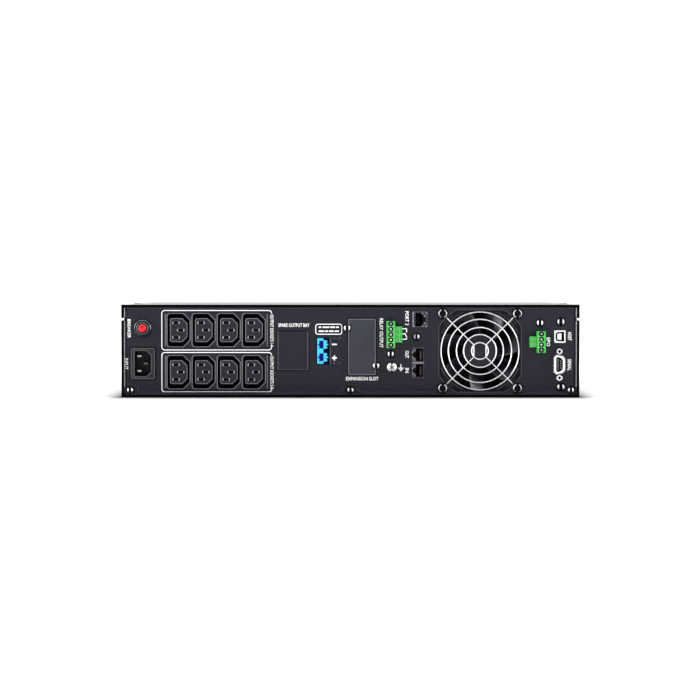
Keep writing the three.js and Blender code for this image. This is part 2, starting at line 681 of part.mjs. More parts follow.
// One swept, twisted blade as a closed grid: rows run outwards, columns along the chord.
function fanBlade(turn) {
  const [rows, columns] = [5, 5];
  const [rootRadius, tipRadius] = [fanBody.hub - 1.2, fanBody.bore - 1.3];
  const depthMiddle = fanBody.start + 11;
  const halfThickness = 0.7;
  const points = [];
  const index = (face, row, column) => face * rows * columns + row * columns + column;
  for (const face of [-1, 1]) {
    for (let row = 0; row < rows; row += 1) {
      const out = row / (rows - 1);
      const radius = rootRadius + out * (tipRadius - rootRadius);
      const chord = 17 + 9 * out;
      const tilt = 0.95 - 0.42 * out;
      const sweep = 0.3 * out;
      for (let column = 0; column < columns; column += 1) {
        const along = column / (columns - 1) - 0.5;
        const camber = (0.25 - along * along) * 2.6;
        const angle = turn + sweep + (along * chord * Math.cos(tilt)) / radius;
        const y = depthMiddle + along * chord * Math.sin(tilt) + camber + face * halfThickness;
        points.push(radius * Math.cos(angle), y, radius * Math.sin(angle));
      }
    }
  }
  const faces = [];
  const quad = (a, b, c, d) => faces.push(a, b, c, a, c, d);
  for (let row = 0; row < rows - 1; row += 1) {
    for (let column = 0; column < columns - 1; column += 1) {
      const [under, over] = [0, 1].map((face) => [
        index(face, row, column), index(face, row + 1, column),
        index(face, row + 1, column + 1), index(face, row, column + 1),
      ]);
      quad(...under);
      quad(...over.reverse());
    }
    const last = columns - 1;
    quad(index(0, row, 0), index(1, row, 0), index(1, row + 1, 0), index(0, row + 1, 0));
    quad(index(1, row, last), index(0, row, last), index(0, row + 1, last), index(1, row + 1, last));
  }
  for (let column = 0; column < columns - 1; column += 1) {
    const last = rows - 1;
    quad(index(0, 0, column), index(0, 0, column + 1), index(1, 0, column + 1), index(1, 0, column));
    const next = column + 1;
    quad(index(0, last, column), index(1, last, column), index(1, last, next), index(0, last, next));
  }
  const geometry = new THREE.BufferGeometry();
  geometry.setAttribute("position", new THREE.BufferAttribute(new Float32Array(points), 3));
  geometry.setIndex(faces);
  return solid(geometry);
}

function fanRotor() {
  const { start, hub } = fanBody;
  const [nose, end] = [start + 1.5, start + 21.6];
  const cup = turnedY([
    [0, nose], [hub - 1.6, nose], [hub - 0.4, nose + 0.5], [hub, nose + 1.6], [hub, end],
    [hub - 1.5, end], [hub - 1.5, nose + 2.5], [0, nose + 2.5],
  ], 28);
  const boss = barY(3.5, nose + 1, end, 0, 0, 12);
  const bore = barY(fanBody.shaft + gap, nose + 4, end + 1, 0, 0, 12);
  const blades = [];
  for (let i = 0; i < fanBody.blades; i += 1) blades.push(fanBlade((i * 2 * Math.PI) / fanBody.blades));
  return join([cup, boss, ...blades]).subtract(bore);
}

// ---------- front: steel panel, bezel, door, controls ----------
const bay = { left: -214, right: 78, low: 6, high: 82 }; // opening for the battery door
const lens = { x: 146, z: 55, width: 74, height: 38 };
const keyRow = { z: 21.5, firstX: 166, pitch: 18, width: 12, height: 7 };
const power = { x: 198, z: 55, radius: 8 };
const boardBehindFront = 3; // the display board stands this far in front of the steel panel
const keyStroke = 1;
const bezelWall = 2.6;
const keyStemEnd = steelFront + boardBehindFront + boardThickness + keyStroke + gap;
const keyNames = ["up_key", "down_key", "enter_key"];

function frontPanel() {
  const side = halfWidth - joggle - sheet - gap;
  const plate = block([-side, steelFront - sheet, sheet + gap], [side, steelFront, coverUnder - gap]);
  const [from, to] = [steelFront - 5, steelFront + 5];
  const bayHole = block([bay.left + 6, from, bay.low + 3], [bay.right - 4, to, bay.high - 4]);
  const cableHole = barY(10, from, to, lens.x, middleHeight - 4, 20);
  return cut(plate, [bayHole, cableHole]);
}

function frontBezel() {
  const back = steelFront + gap;
  const rounded = roundedRect(bodyWidth, bodyHeight - 1, 3, 0, middleHeight);
  const outside = extrudeY(rounded, back, front, 4);
  const hollow = block(
    [-halfWidth + bezelWall, back - 1, bezelWall + 0.5],
    [halfWidth - bezelWall, front - bezelWall, bodyHeight - bezelWall - 0.5],
  );
  const through = [front - 2 * bezelWall, front + 1];
  const door = block([bay.left, through[0], bay.low], [bay.right, through[1], bay.high]);
  const lensOutline = rectangle(lens.width + 2 * gap, lens.height + 2 * gap, lens.x, lens.z);
  const screen = extrudeY(lensOutline, ...through);
  const button = barY(power.radius + gap, ...through, power.x, power.z, 32);
  const keys = keyNames.map((name, i) => {
    const [width, height] = [keyRow.width + 2 * gap, keyRow.height + 2 * gap];
    const x = keyRow.firstX - i * keyRow.pitch;
    return extrudeY(roundedRect(width, height, 2, x, keyRow.z), ...through, 3);
  });
  return cut(outside, [hollow, door, screen, button, ...keys]);
}

function batteryDoor() {
  const margin = 0.5;
  const [left, right] = [bay.left + margin, bay.right - margin];
  const [low, high] = [bay.low + margin, bay.high - margin];
  const face = front - 0.4;
  const [skin, rimWall, rimDepth] = [3, 2, 22];
  const plate = block([left, face - skin, low], [right, face, high]);
  const rim = block([left, face - rimDepth, low], [right, face, high]).subtract(block(
    [left + rimWall, face - rimDepth - 1, low + rimWall],
    [right - rimWall, face - skin, high - rimWall],
  ));
  const slots = [];
  const grille = { rows: 7, columns: 3, side: 24, bottom: 12, pitch: 8, slotHeight: 3, rib: 8 };
  const inside = right - left - 2 * grille.side + grille.rib;
  const slotWidth = inside / grille.columns - grille.rib;
  for (let row = 0; row < grille.rows; row += 1) {
    for (let column = 0; column < grille.columns; column += 1) {
      const x = left + grille.side + column * (slotWidth + grille.rib);
      const z = low + grille.bottom + row * grille.pitch;
      slots.push(block([x, face - skin - 1, z], [x + slotWidth, face + 1, z + grille.slotHeight]));
    }
  }
  return cut(plate.add(rim), slots);
}

function batteryRetainer() {
  const from = steelFront + gap;
  const plate = block([bay.left + 3, from, 14], [bay.right - 1, from + sheet, 72]);
  const [fingerHole, height] = [6, middleHeight - 1];
  const holes = [-180, -120, -60, 0, 50].map((x) => barY(fingerHole, from - 1, from + 3, x, height, 10));
  return cut(plate, holes);
}

function displayLens() {
  return extrudeY(rectangle(lens.width, lens.height), front - 2.4, front - 0.3);
}

function pressKey(width, height) {
  const cap = extrudeY(roundedRect(width, height, 1.8), front - 6, front, 3);
  const flange = extrudeY(rectangle(width + 2, height + 2), front - 6, front - bezelWall - gap);
  const stem = barY(2, keyStemEnd, front - 5, 0, 0, 8);
  return join([cap, flange, stem]);
}

function powerButton() {
  const r = power.radius;
  const tip = front;
  const cap = turnedY([
    [0, tip - 6], [r + 1, tip - 6], [r + 1, tip - bezelWall - gap], [r, tip - bezelWall - gap],
    [r, tip - 1], [r - 0.8, tip - 0.2], [r - 2.2, tip], [0, tip - 0.6],
  ], 24);
  const stem = barY(2, keyStemEnd, tip - 5, 0, 0, 8);
  return cap.add(stem);
}

// ---------- inside ----------
const batterySize = { x: 93, y: 151, z: 65 };
const batteryCount = 3;
const tray = { left: -210, right: 76, low: 1.5, high: 30, back: steelFront - sheet - gap - 156 };

function batteryTray() {
  const end = steelFront - sheet - gap;
  const outside = block([tray.left, tray.back, tray.low], [tray.right, end, tray.high]);
  const hollow = block(
    [tray.left + sheet, tray.back + sheet, tray.low + sheet],
    [tray.right - sheet, end - sheet, tray.high + 1],
  );
  return outside.subtract(hollow);
}

function batteryBlock() {
  const { x, y, z } = batterySize;
  const caseBody = block([0, 0, 0], [x, y, z - 3]);
  const lid = block([1, 1, z - 3.5], [x - 1, y - 1, z]);
  const terminals = [14, x - 14].map((at) => block([at - 3, y - 14, z - 0.5], [at + 3, y - 8, z + 6]));
  return join([caseBody, lid, ...terminals]);
}

function bayDivider() {
  const [left, right, low, high] = [tray.left - 1, tray.right + 6, sheet + gap, bodyHeight - 4];
  const [foot, back] = [12, tray.back - 4];
  const wall = block([left, back, low], [right, back + sheet, high]);
  return wall.add(block([left, back - foot, low], [right, back + sheet, low + sheet]));
}

const board = { left: -200, right: 76, rear: rear + 34, front: tray.back - 20, z: 9 };

function powerBoard() {
  const top = board.z + boardThickness;
  const plate = block([board.left, board.rear, board.z], [board.right, board.front, top]);
  const posts = [];
  const [low, high] = [sheet + gap, board.z + 0.2];
  for (const x of [board.left + 8, board.right - 8]) {
    for (const y of [board.rear + 8, board.front - 8]) {
      const post = new THREE.CylinderGeometry(3, 3, high - low, 12);
      post.rotateX(Math.PI / 2);
      post.translate(x, y, (low + high) / 2);
      posts.push(solid(post));
    }
  }
  return join([plate, ...posts]);
}

// An extruded sink along Y: a base plate with fins to one side.
function heatSink(side) {
  const [fins, finPitch, finLength, base] = [9, 6, 26, 4];
  const low = board.z + boardThickness + gap;
  const [from, to] = [board.rear + 14, board.front - 10];
  const back = block([0, from, low], [base, to, low + fins * finPitch]);
  const blades = [];
  for (let i = 0; i < fins; i += 1) {
    const z = low + i * finPitch;
    blades.push(block([base - 0.5, from, z], [base + finLength, to, z + 1.8]));
  }
  const right = join([back, ...blades]);
  return side > 0 ? right : right.mirror([1, 0, 0]);
}

function outputInductor() {
  const low = board.z + boardThickness + gap;
  const [inner, outer, tall] = [12, 30, 28];
  const ring = new THREE.LatheGeometry([
    [inner, 0], [outer - 3, 0], [outer, 3], [outer, tall - 3], [outer - 3, tall], [inner, tall], [inner, 0],
  ].map(([r, y]) => new THREE.Vector2(r, y)), 24);
  ring.rotateX(Math.PI / 2);
  ring.translate(0, 0, low);
  return solid(ring);
}

function busCapacitor() {
  const low = board.z + boardThickness + gap;
  const [radius, tall] = [16, 46];
  const can = new THREE.LatheGeometry([
    [0, 0], [radius, 0], [radius, 4], [radius - 0.8, 5], [radius, 6],
    [radius, tall - 1], [radius - 1, tall], [0, tall],
  ].map(([r, y]) => new THREE.Vector2(r, y)), 24);
  can.rotateX(Math.PI / 2);
  can.translate(0, 0, low);
  return solid(can);
}

// An upright board behind the connectors.
function uprightBoard(left, right, low, high, y) {
  return block([left, y, low], [right, y + boardThickness, high]);
}

// ---------- the assembly ----------
const ups = new THREE.Group();

function placed(group, x, y, z) {
  group.position.set(x, y, z);
  return group;
}

ups.add(
  piece("base_chassis", baseChassis(), blackPaint),
  piece("top_cover", topCover(), blackPaint),
  piece("rear_panel", rearPanel(), blackPaint),
  piece("front_panel", frontPanel(), blackPaint),
  piece("front_bezel", frontBezel(), blackPlastic),
  piece("battery_door", batteryDoor(), blackPlastic),
  piece("battery_retainer", batteryRetainer(), greyPaint),
  piece("rack_ear_left", rackEar(-1), blackPaint),
  piece("rack_ear_right", rackEar(1), blackPaint),
);

const panelScrewNames = ["panel_screw_left", "panel_screw_middle", "panel_screw_right"];
panelScrewNames.forEach((name, i) => {
  const body = screw(3.5, 2, 1.8, 8);
  ups.add(placed(piece(name, body, darkMetal), (i - 1) * edgeScrewX, panelFace - gap, edgeScrewZ));
});

const breakerGroup = placed(new THREE.Group(), breakerAt.x, 0, breakerAt.z);
breakerGroup.add(
  piece("breaker_body", breakerBody(), blackPlastic),
  piece("breaker_nut", breakerNut(), darkMetal),
  piece("breaker_button", breakerButton(), redPlastic),
);

const inletGroup = placed(new THREE.Group(), inletAt.x, 0, inletAt.z);
inletGroup.add(piece("inlet_housing", inletHousing(), greyPlastic));
for (const p of inletPins) inletGroup.add(piece(p.name, inletPin(p), brightMetal));

const blueSocket = piece("battery_connector", batteryConnector(), bluePlastic);
const upperBank = piece("outlet_bank_upper", outletBankBody(), greyPlastic);
const lowerBank = piece("outlet_bank_lower", outletBankBody(), greyPlastic);
ups.add(
  breakerGroup,
  inletGroup,
  placed(upperBank, outletBank.x, 0, outletBank.upperZ),
  placed(lowerBank, outletBank.x, 0, outletBank.lowerZ),
  placed(piece("blank_cover", blankCover(), blackPaint), blankAt.x, 0, blankAt.z),
  placed(piece("slot_cover", slotCover(), greyPaint), slotCoverAt.x, 0, slotCoverAt.z),
  placed(blueSocket, batterySocketAt.x, 0, batterySocketAt.z),
);

for (const [name, at] of [["relay", relayAt], ["power_off", epoAt]]) {
  const strip = placed(new THREE.Group(), at.x, 0, at.z);
  strip.add(
    piece(name + "_header", terminalHeader(at), greenPlastic),
    piece(name + "_plug", terminalPlug(at), greenPlastic),
  );
  ups.add(strip);
}

const groundScrew = piece("ground_screw", screw(4.5, 3, 2, 10), brightMetal);
ups.add(
  placed(groundScrew, groundAt.x, panelFace - gap, groundAt.z),
  placed(piece("network_jack", networkJack(), greyPlastic), networkAt.x, 0, networkAt.z),
  placed(piece("surge_jack_pair", surgeJackPair(), greyPlastic), surgeAt.x, 0, surgeAt.z),
  placed(piece("usb_port", usbPort(), brightMetal), usbAt.x, 0, usbAt.z),
  placed(piece("serial_port", serialPort(), brightMetal), serialAt.x, 0, serialAt.z),
);
for (const [name, side] of [["serial_standoff_upper", 1], ["serial_standoff_lower", -1]]) {
  const post = piece(name, standoff(), brightMetal);
  ups.add(placed(post, serialAt.x, 0, serialAt.z + side * serial.standoff));
}

const fan = placed(new THREE.Group(), fanAt.x, 0, fanAt.z);
fan.add(
  piece("fan_guard", fanGuard(), brightMetal),
  piece("fan_frame", fanFrame(), blackPlastic),
  piece("fan_rotor", fanRotor(), blackPlastic),
);
fanCorners.forEach(([x, z], i) => {
  const body = screw(4.5, 2.4, 1.9, 12);
  fan.add(placed(piece("fan_screw_" + (i + 1), body, darkMetal), x, panelFace - gap, z));
});
ups.add(fan);

ups.add(
  placed(piece("display_lens", displayLens(), clearPlastic), lens.x, 0, lens.z),
  placed(piece("power_button", powerButton(), greyPlastic), power.x, 0, power.z),
);
keyNames.forEach((name, i) => {
  const key = piece(name, pressKey(keyRow.width, keyRow.height), greyPlastic);
  ups.add(placed(key, keyRow.firstX - i * keyRow.pitch, 0, keyRow.z));
});

const inside = new THREE.Group();
inside.add(
  piece("battery_tray", batteryTray(), greyPaint),
  piece("bay_divider", bayDivider(), greyPaint),
  piece("power_board", powerBoard(), boardGreen),
  piece("network_board", uprightBoard(31, 80, 18, 80, panelBack + 20), boardGreen),
  piece("port_board", uprightBoard(168, 211, 17, 70, panelBack + 18), boardGreen),
  piece("display_board", uprightBoard(96, 211, 12, 76, steelFront + boardBehindFront), boardGreen),
  placed(piece("heat_sink_left", heatSink(1), aluminium), board.left + 12, 0, 0),
  placed(piece("heat_sink_right", heatSink(-1), aluminium), -40, 0, 0),
  placed(piece("output_inductor", outputInductor(), copper), 2, board.rear + 60, 0),
  placed(piece("bus_capacitor", busCapacitor(), blackPlastic), 50, board.front - 30, 0),
);
for (let i = 0; i < batteryCount; i += 1) {
  const x = tray.left + sheet + 1 + i * (batterySize.x + 1.4);
  const battery = piece("battery_block_" + (i + 1), batteryBlock(), batteryGrey);
  inside.add(placed(battery, x, tray.back + sheet + 1, tray.low + sheet + gap));
}
ups.add(inside);

export default ups;
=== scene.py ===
"""A rack-mount UPS seen from behind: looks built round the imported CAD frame.

Forms are drawn in millimetres in the frame's own axes (the rear faces -Y) and scaled to metres.
"""
import math

import bmesh
import bpy
from mathutils import Matrix, Vector


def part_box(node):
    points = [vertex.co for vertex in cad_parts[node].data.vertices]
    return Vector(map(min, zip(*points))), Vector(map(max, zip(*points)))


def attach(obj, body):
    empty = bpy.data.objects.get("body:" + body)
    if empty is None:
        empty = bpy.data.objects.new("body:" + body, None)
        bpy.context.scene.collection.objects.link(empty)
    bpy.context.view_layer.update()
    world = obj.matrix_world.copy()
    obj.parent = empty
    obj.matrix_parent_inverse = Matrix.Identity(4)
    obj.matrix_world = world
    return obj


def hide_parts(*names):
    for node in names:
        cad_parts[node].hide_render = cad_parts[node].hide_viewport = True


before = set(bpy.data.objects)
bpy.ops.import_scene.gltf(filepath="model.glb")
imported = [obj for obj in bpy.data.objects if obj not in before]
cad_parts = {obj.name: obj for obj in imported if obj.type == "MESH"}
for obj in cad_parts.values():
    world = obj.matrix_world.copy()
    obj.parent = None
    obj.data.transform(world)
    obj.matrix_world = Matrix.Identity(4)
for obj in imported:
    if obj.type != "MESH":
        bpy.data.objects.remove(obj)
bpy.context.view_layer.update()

scene = bpy.context.scene
MM = 0.001
FULL_TURN = 2 * math.pi
QUARTER_TURN = math.pi / 2


# ---------- places taken from the frame, in millimetres ----------
class Spot:
    """Where a CAD node lies: its sides, its middle and its size."""

    def __init__(self, node):
        low, high = (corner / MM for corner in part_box(node))
        self.left, self.near, self.low = low
        self.right, self.far, self.high = high
        self.x, self.y, self.z = (low + high) / 2
        self.width, self.depth, self.height = high - low
        self.size = (self.width, self.height)
        self.origin = self.on(self.near)

    def on(self, y):
        """The node's middle, at another Y."""
        return (self.x, y, self.z)


panel = Spot("rear_panel")
shell = Spot("top_cover")
bezel = Spot("front_bezel")
FACE = panel.near  # the rear panel's painted face
REAR = shell.near  # the rear edge of the shell
FRONT = bezel.far
INK = 0.04  # thickness of printed ink
LIFT = 0.02  # ink stands this far off its face
INK_REAR, INK_FRONT = (-LIFT - INK, -LIFT), (LIFT, LIFT + INK)  # its depth on faces either way


# ---------- camera ----------
CAMERA_X = shell.x - 0.4
CAMERA_DISTANCE = 2360  # from the rear edge of the shell
CAMERA_HEIGHT = 106
AIM_HEIGHT = 45.1
FOCAL_LENGTH = 126.97
SENSOR_WIDTH = 36


def new_object(name, data):
    made = bpy.data.objects.new(name, data)
    scene.collection.objects.link(made)
    return made


def aimed(thing, place, aim):
    """Puts a camera or light at a place and turns it towards another, both in metres."""
    thing.location = place
    thing.rotation_euler = (Vector(aim) - Vector(place)).to_track_quat("-Z", "Y").to_euler()
    return thing


def add_camera():
    data = bpy.data.cameras.new("camera")
    data.sensor_width = SENSOR_WIDTH
    data.lens = FOCAL_LENGTH
    data.clip_start = 0.05
    place = Vector((CAMERA_X, REAR - CAMERA_DISTANCE, CAMERA_HEIGHT)) * MM
    aim = Vector((CAMERA_X, REAR, AIM_HEIGHT)) * MM
    scene.camera = aimed(new_object("camera", data), place, aim)


add_camera()


# ---------- looks: procedural materials, found by name ----------
LOOKS = {}


def shader_node(tree, kind, **inputs):
    made = tree.nodes.new(kind)
    for name, value in inputs.items():
        made.inputs[name.replace("_", " ")].default_value = value
    return made


def new_shader(name, colour, roughness, metallic=0.0, specular=0.5, coat=0.0):
    material = bpy.data.materials.new(name)
    material.use_nodes = True
    material.diffuse_color = (*colour, 1)
    shader = material.node_tree.nodes["Principled BSDF"]
    for socket, value in (("Base Color", (*colour, 1)), ("Roughness", roughness), ("Metallic", metallic),
                          ("Specular IOR Level", specular), ("Coat Weight", coat),
                          ("Coat Roughness", 0.12)):
        shader.inputs[socket].default_value = value
    LOOKS[name] = material
    return shader


def object_noise(tree, scale, detail=3.0, stretch=(1, 1, 1)):
    """Noise laid out in the object's own metres."""
    place = tree.nodes.new("ShaderNodeTexCoord")
    mapping = shader_node(tree, "ShaderNodeMapping", Scale=stretch)
    noise = shader_node(tree, "ShaderNodeTexNoise", Scale=scale, Detail=detail)
    tree.links.new(place.outputs["Object"], mapping.inputs["Vector"])
    tree.links.new(mapping.outputs["Vector"], noise.inputs["Vector"])
    return noise.outputs["Fac"]


def vary_colour(shader, colour, scale, amount):
    """Mottles the base colour up and down by a share of itself."""
    tree = shader.id_data
    ramp = tree.nodes.new("ShaderNodeValToRGB")
    for stop, place, share in zip(ramp.color_ramp.elements, (0.3, 0.7), (1 - amount, 1 + amount)):
        stop.position = place
        stop.color = (*[c * share for c in colour], 1)
    tree.links.new(object_noise(tree, scale), ramp.inputs["Fac"])
    tree.links.new(ramp.outputs["Color"], shader.inputs["Base Color"])


def vary_roughness(shader, low, high, scale, stretch=(1, 1, 1)):
    tree = shader.id_data
    spread = shader_node(tree, "ShaderNodeMapRange", To_Min=low, To_Max=high)
    tree.links.new(object_noise(tree, scale, 4.0, stretch), spread.inputs["Value"])
    tree.links.new(spread.outputs["Result"], shader.inputs["Roughness"])


def add_grain(shader, scale, height, stretch=(1, 1, 1)):
    """Fine relief of a height given in millimetres."""
    tree = shader.id_data
    bump = shader_node(tree, "ShaderNodeBump", Strength=0.6, Distance=height * MM)
    tree.links.new(object_noise(tree, scale, 2.0, stretch), bump.inputs["Height"])
    tree.links.new(bump.outputs["Normal"], shader.inputs["Normal"])


def powder_coat(name, colour, roughness=0.42, specular=0.3, grain=0.03):
    shader = new_shader(name, colour, roughness, specular=specular)
    vary_colour(shader, colour, 60, 0.06)
    vary_roughness(shader, roughness - 0.05, roughness + 0.07, 240)
    add_grain(shader, 1500, grain)


def moulded(name, colour, roughness=0.45, specular=0.35, grain=0.015, coat=0.0):
    shader = new_shader(name, colour, roughness, specular=specular, coat=coat)
    vary_colour(shader, colour, 90, 0.05)
    vary_roughness(shader, roughness - 0.04, roughness + 0.06, 300)
    add_grain(shader, 2600, grain)


def metal(name, colour, roughness, stretch=(1, 1, 1), grain=0.003):
    shader = new_shader(name, colour, roughness, metallic=1.0)
    vary_colour(shader, colour, 120, 0.04)
    vary_roughness(shader, roughness * 0.75, roughness * 1.3, 500, stretch)
    add_grain(shader, 900, grain, stretch)


def ink(name, colour, glow=0.35):
    shader = new_shader(name, colour, 0.5, specular=0.3)
    vary_colour(shader, colour, 400, 0.03)
    shader.inputs["Emission Color"].default_value = (*colour, 1)
    shader.inputs["Emission Strength"].default_value = glow


powder_coat("rear_panel_paint", (0.0085, 0.0081, 0.0175))
# painted highlight: a lighter copy of the panel paint for raised lines and lips that stand in for lit edges
powder_coat("edge_highlight_paint", (0.06, 0.06, 0.082), 0.35)
powder_coat("shell_paint", (0.006, 0.006, 0.008), 0.28, specular=0.62)
# painted shade: a far darker, duller copy of the shell paint for its unlit rear edges and the dark rings
# round screws
powder_coat("hem_shade_paint", (0.0006, 0.0006, 0.0014), 0.7, specular=0.03)
powder_coat("slot_cover_paint", (0.033, 0.034, 0.047), 0.4)
# painted highlight: a much lighter copy of the cover paint for the raised edge round the slot cover
powder_coat("cover_edge_highlight", (0.13, 0.13, 0.16), 0.35)
powder_coat("inner_steel", (0.2, 0.2, 0.205))
moulded("black_plastic", (0.006, 0.006, 0.008), 0.38)
moulded("bezel_plastic", (0.012, 0.012, 0.014), grain=0.04)
moulded("socket_plastic", (0.0118, 0.0118, 0.0205), 0.36, specular=0.26)
# painted highlight: lighter plastic for the raised lines round the sockets' moats and tongues
moulded("socket_highlight_trim", (0.15, 0.15, 0.18), 0.3, specular=0.4)
moulded("inlet_plastic", (0.0125, 0.0128, 0.018), 0.42)
# painted highlight: lighter plastic for the raised edges round the sockets' slots
moulded("slot_edge_highlight", (0.04, 0.04, 0.052), 0.35)
moulded("jack_plastic", (0.03, 0.031, 0.041), 0.35)
# painted highlight: lighter plastic for the rims round the jacks and the inlet
moulded("rim_highlight_trim", (0.06, 0.06, 0.078), 0.3)
# painted highlight: light grey for the small squares and steps round the jacks' openings and the surge
# jacks' bar
moulded("teeth_highlight_grey", (0.19, 0.19, 0.23), 0.35)
# painted glint: light grey bits at the ends of the sockets' slots
moulded("slot_glint_grey", (0.42, 0.42, 0.46), 0.3)
moulded("key_plastic", (0.03, 0.03, 0.035))
# painted highlight: a lighter copy of the fan's black plastic for the ribs on its frame's corners
moulded("frame_rib_highlight", (0.05, 0.05, 0.062), 0.3)
moulded("blade_plastic", (0.014, 0.0135, 0.024), 0.3, specular=0.6)
moulded("fan_plastic", (0.003, 0.003, 0.006), 0.4, specular=0.2)
moulded("hub_plastic", (0.012, 0.012, 0.018), 0.4)
moulded("hub_disc", (0.0135, 0.0135, 0.021), 0.5)
moulded("red_plastic", (0.62, 0.006, 0.016), 0.3, specular=0.3, coat=0.2)
moulded("blue_plastic", (0.045, 0.6, 0.93), 0.3)
# painted shade: the deep blue and navy below stand for the dark inside and behind the battery connector
moulded("blue_shade", (0.003, 0.001, 0.2), 0.4, specular=0.15)
moulded("navy_shade", (0.0005, 0.0005, 0.022), 0.5, specular=0.06)
moulded("green_plastic", (0.055, 0.43, 0.075), 0.3)
# painted highlight and painted shade: a paler and a darker copy of the terminal green, for lit edges and
# for the dark between poles
moulded("green_highlight", (0.13, 0.66, 0.15), 0.3)
moulded("green_shade", (0.01, 0.16, 0.015), 0.4)
moulded("white_plastic", (0.8, 0.8, 0.8), 0.35)
# mostly painted shade: black for the dark in gaps, recesses and openings; a few black parts of the unit use
# it too
moulded("black_and_painted_shade", (0.001, 0.001, 0.0012), 0.6, specular=0.1)
metal("chrome", (0.85, 0.85, 0.86), 0.16)
metal("guard_wire", (0.96, 0.97, 1.0), 0.36)
metal("nickel", (0.75, 0.75, 0.78), 0.22)
metal("plated_steel", (0.95, 0.95, 0.95), 0.5)
metal("pin_metal", (0.42, 0.42, 0.44), 0.3)
metal("earth_pin_metal", (0.12, 0.12, 0.13), 0.3)
metal("black_nickel", (0.12, 0.12, 0.13), 0.16)
metal("screw_metal", (0.74, 0.74, 0.78), 0.45)
metal("fan_screw_metal", (0.95, 0.95, 1.0), 0.4)
# painted highlight: light grey standing in for the lit folded edges of the rear panel
moulded("lip_highlight_grey", (0.5, 0.5, 0.52), 0.3)
# painted shade: black for the middles, crosses and backing of screws
metal("screw_shade_black", (0.01, 0.01, 0.013), 0.3)
metal("dull_black_metal", (0.045, 0.045, 0.055), 0.3)
metal("collar_metal", (0.1, 0.22, 0.24), 0.25)
metal("pink_zinc", (0.8, 0.5, 0.8), 0.35)
metal("tarnished_gold", (0.22, 0.18, 0.1), 0.4)
metal("dark_contact", (0.03, 0.03, 0.045), 0.3)
metal("copper", (0.6, 0.25, 0.12), 0.3, stretch=(1, 1, 6))
metal("aluminium", (0.6, 0.6, 0.62), 0.35, stretch=(20, 1, 1))
moulded("board_green", (0.01, 0.12, 0.035), 0.35)
moulded("battery_plastic", (0.05, 0.052, 0.06), 0.5)
# The print inks glow through a little emission: painted light on printing that is no lamp.
ink("white_ink", (0.9, 0.9, 0.9))
ink("grey_ink", (0.6, 0.6, 0.62))
ink("display_light", (0.35, 0.75, 1.0), 1.2)
ink("status_light", (0.15, 0.9, 0.35), 1.5)
new_shader("lens_glass", (0.003, 0.005, 0.009), 0.06, specular=0.3, coat=0.2)


# ---------- outlines as (x, z) points ----------
def rounded(width, height, radius, x=0.0, z=0.0, steps=6):
    """A rectangle about (x, z) with round corners."""
    points = []
    for turn, (across, up) in enumerate([(1, -1), (1, 1), (-1, 1), (-1, -1)]):
        cx = x + across * (width / 2 - radius)
        cz = z + up * (height / 2 - radius)
        for step in range(steps + 1):
            angle = (turn + step / steps - 1) * QUARTER_TURN
            points.append((cx + radius * math.cos(angle), cz + radius * math.sin(angle)))
    return points


def circle(radius, x=0.0, z=0.0, steps=48):
    angles = [i * FULL_TURN / steps for i in range(steps)]
    return [(x + radius * math.cos(a), z + radius * math.sin(a)) for a in angles]


def chamfered(width, height, chamfer, x=0.0, z=0.0, side=1):
    """A rectangle with both corners on one side cut off: side 1 is +X, -1 is -X."""
    far, half = side * width / 2, height / 2
    points = [(-far, -half), (far - side * chamfer, -half), (far, chamfer - half),
              (far, half - chamfer), (far - side * chamfer, half), (-far, half)]
    return [(x + px, z + pz) for px, pz in points]


def socket_outline(left, right, half, chamfer, corner):
    """A mains socket's outline: far corners cut off by chamfer, near corners rounded."""
    points = [(right - chamfer, -half), (right, chamfer - half), (right, half - chamfer),
              (right - chamfer, half)]
    for z, start in ((half - corner, 1), (corner - half, 2)):
        for angle in ((start + step / 4) * QUARTER_TURN for step in range(5)):
            points.append((left + corner + corner * math.cos(angle), z + corner * math.sin(angle)))
    return points


# ---------- forms ----------
SMOOTH_ANGLE = math.radians(32)


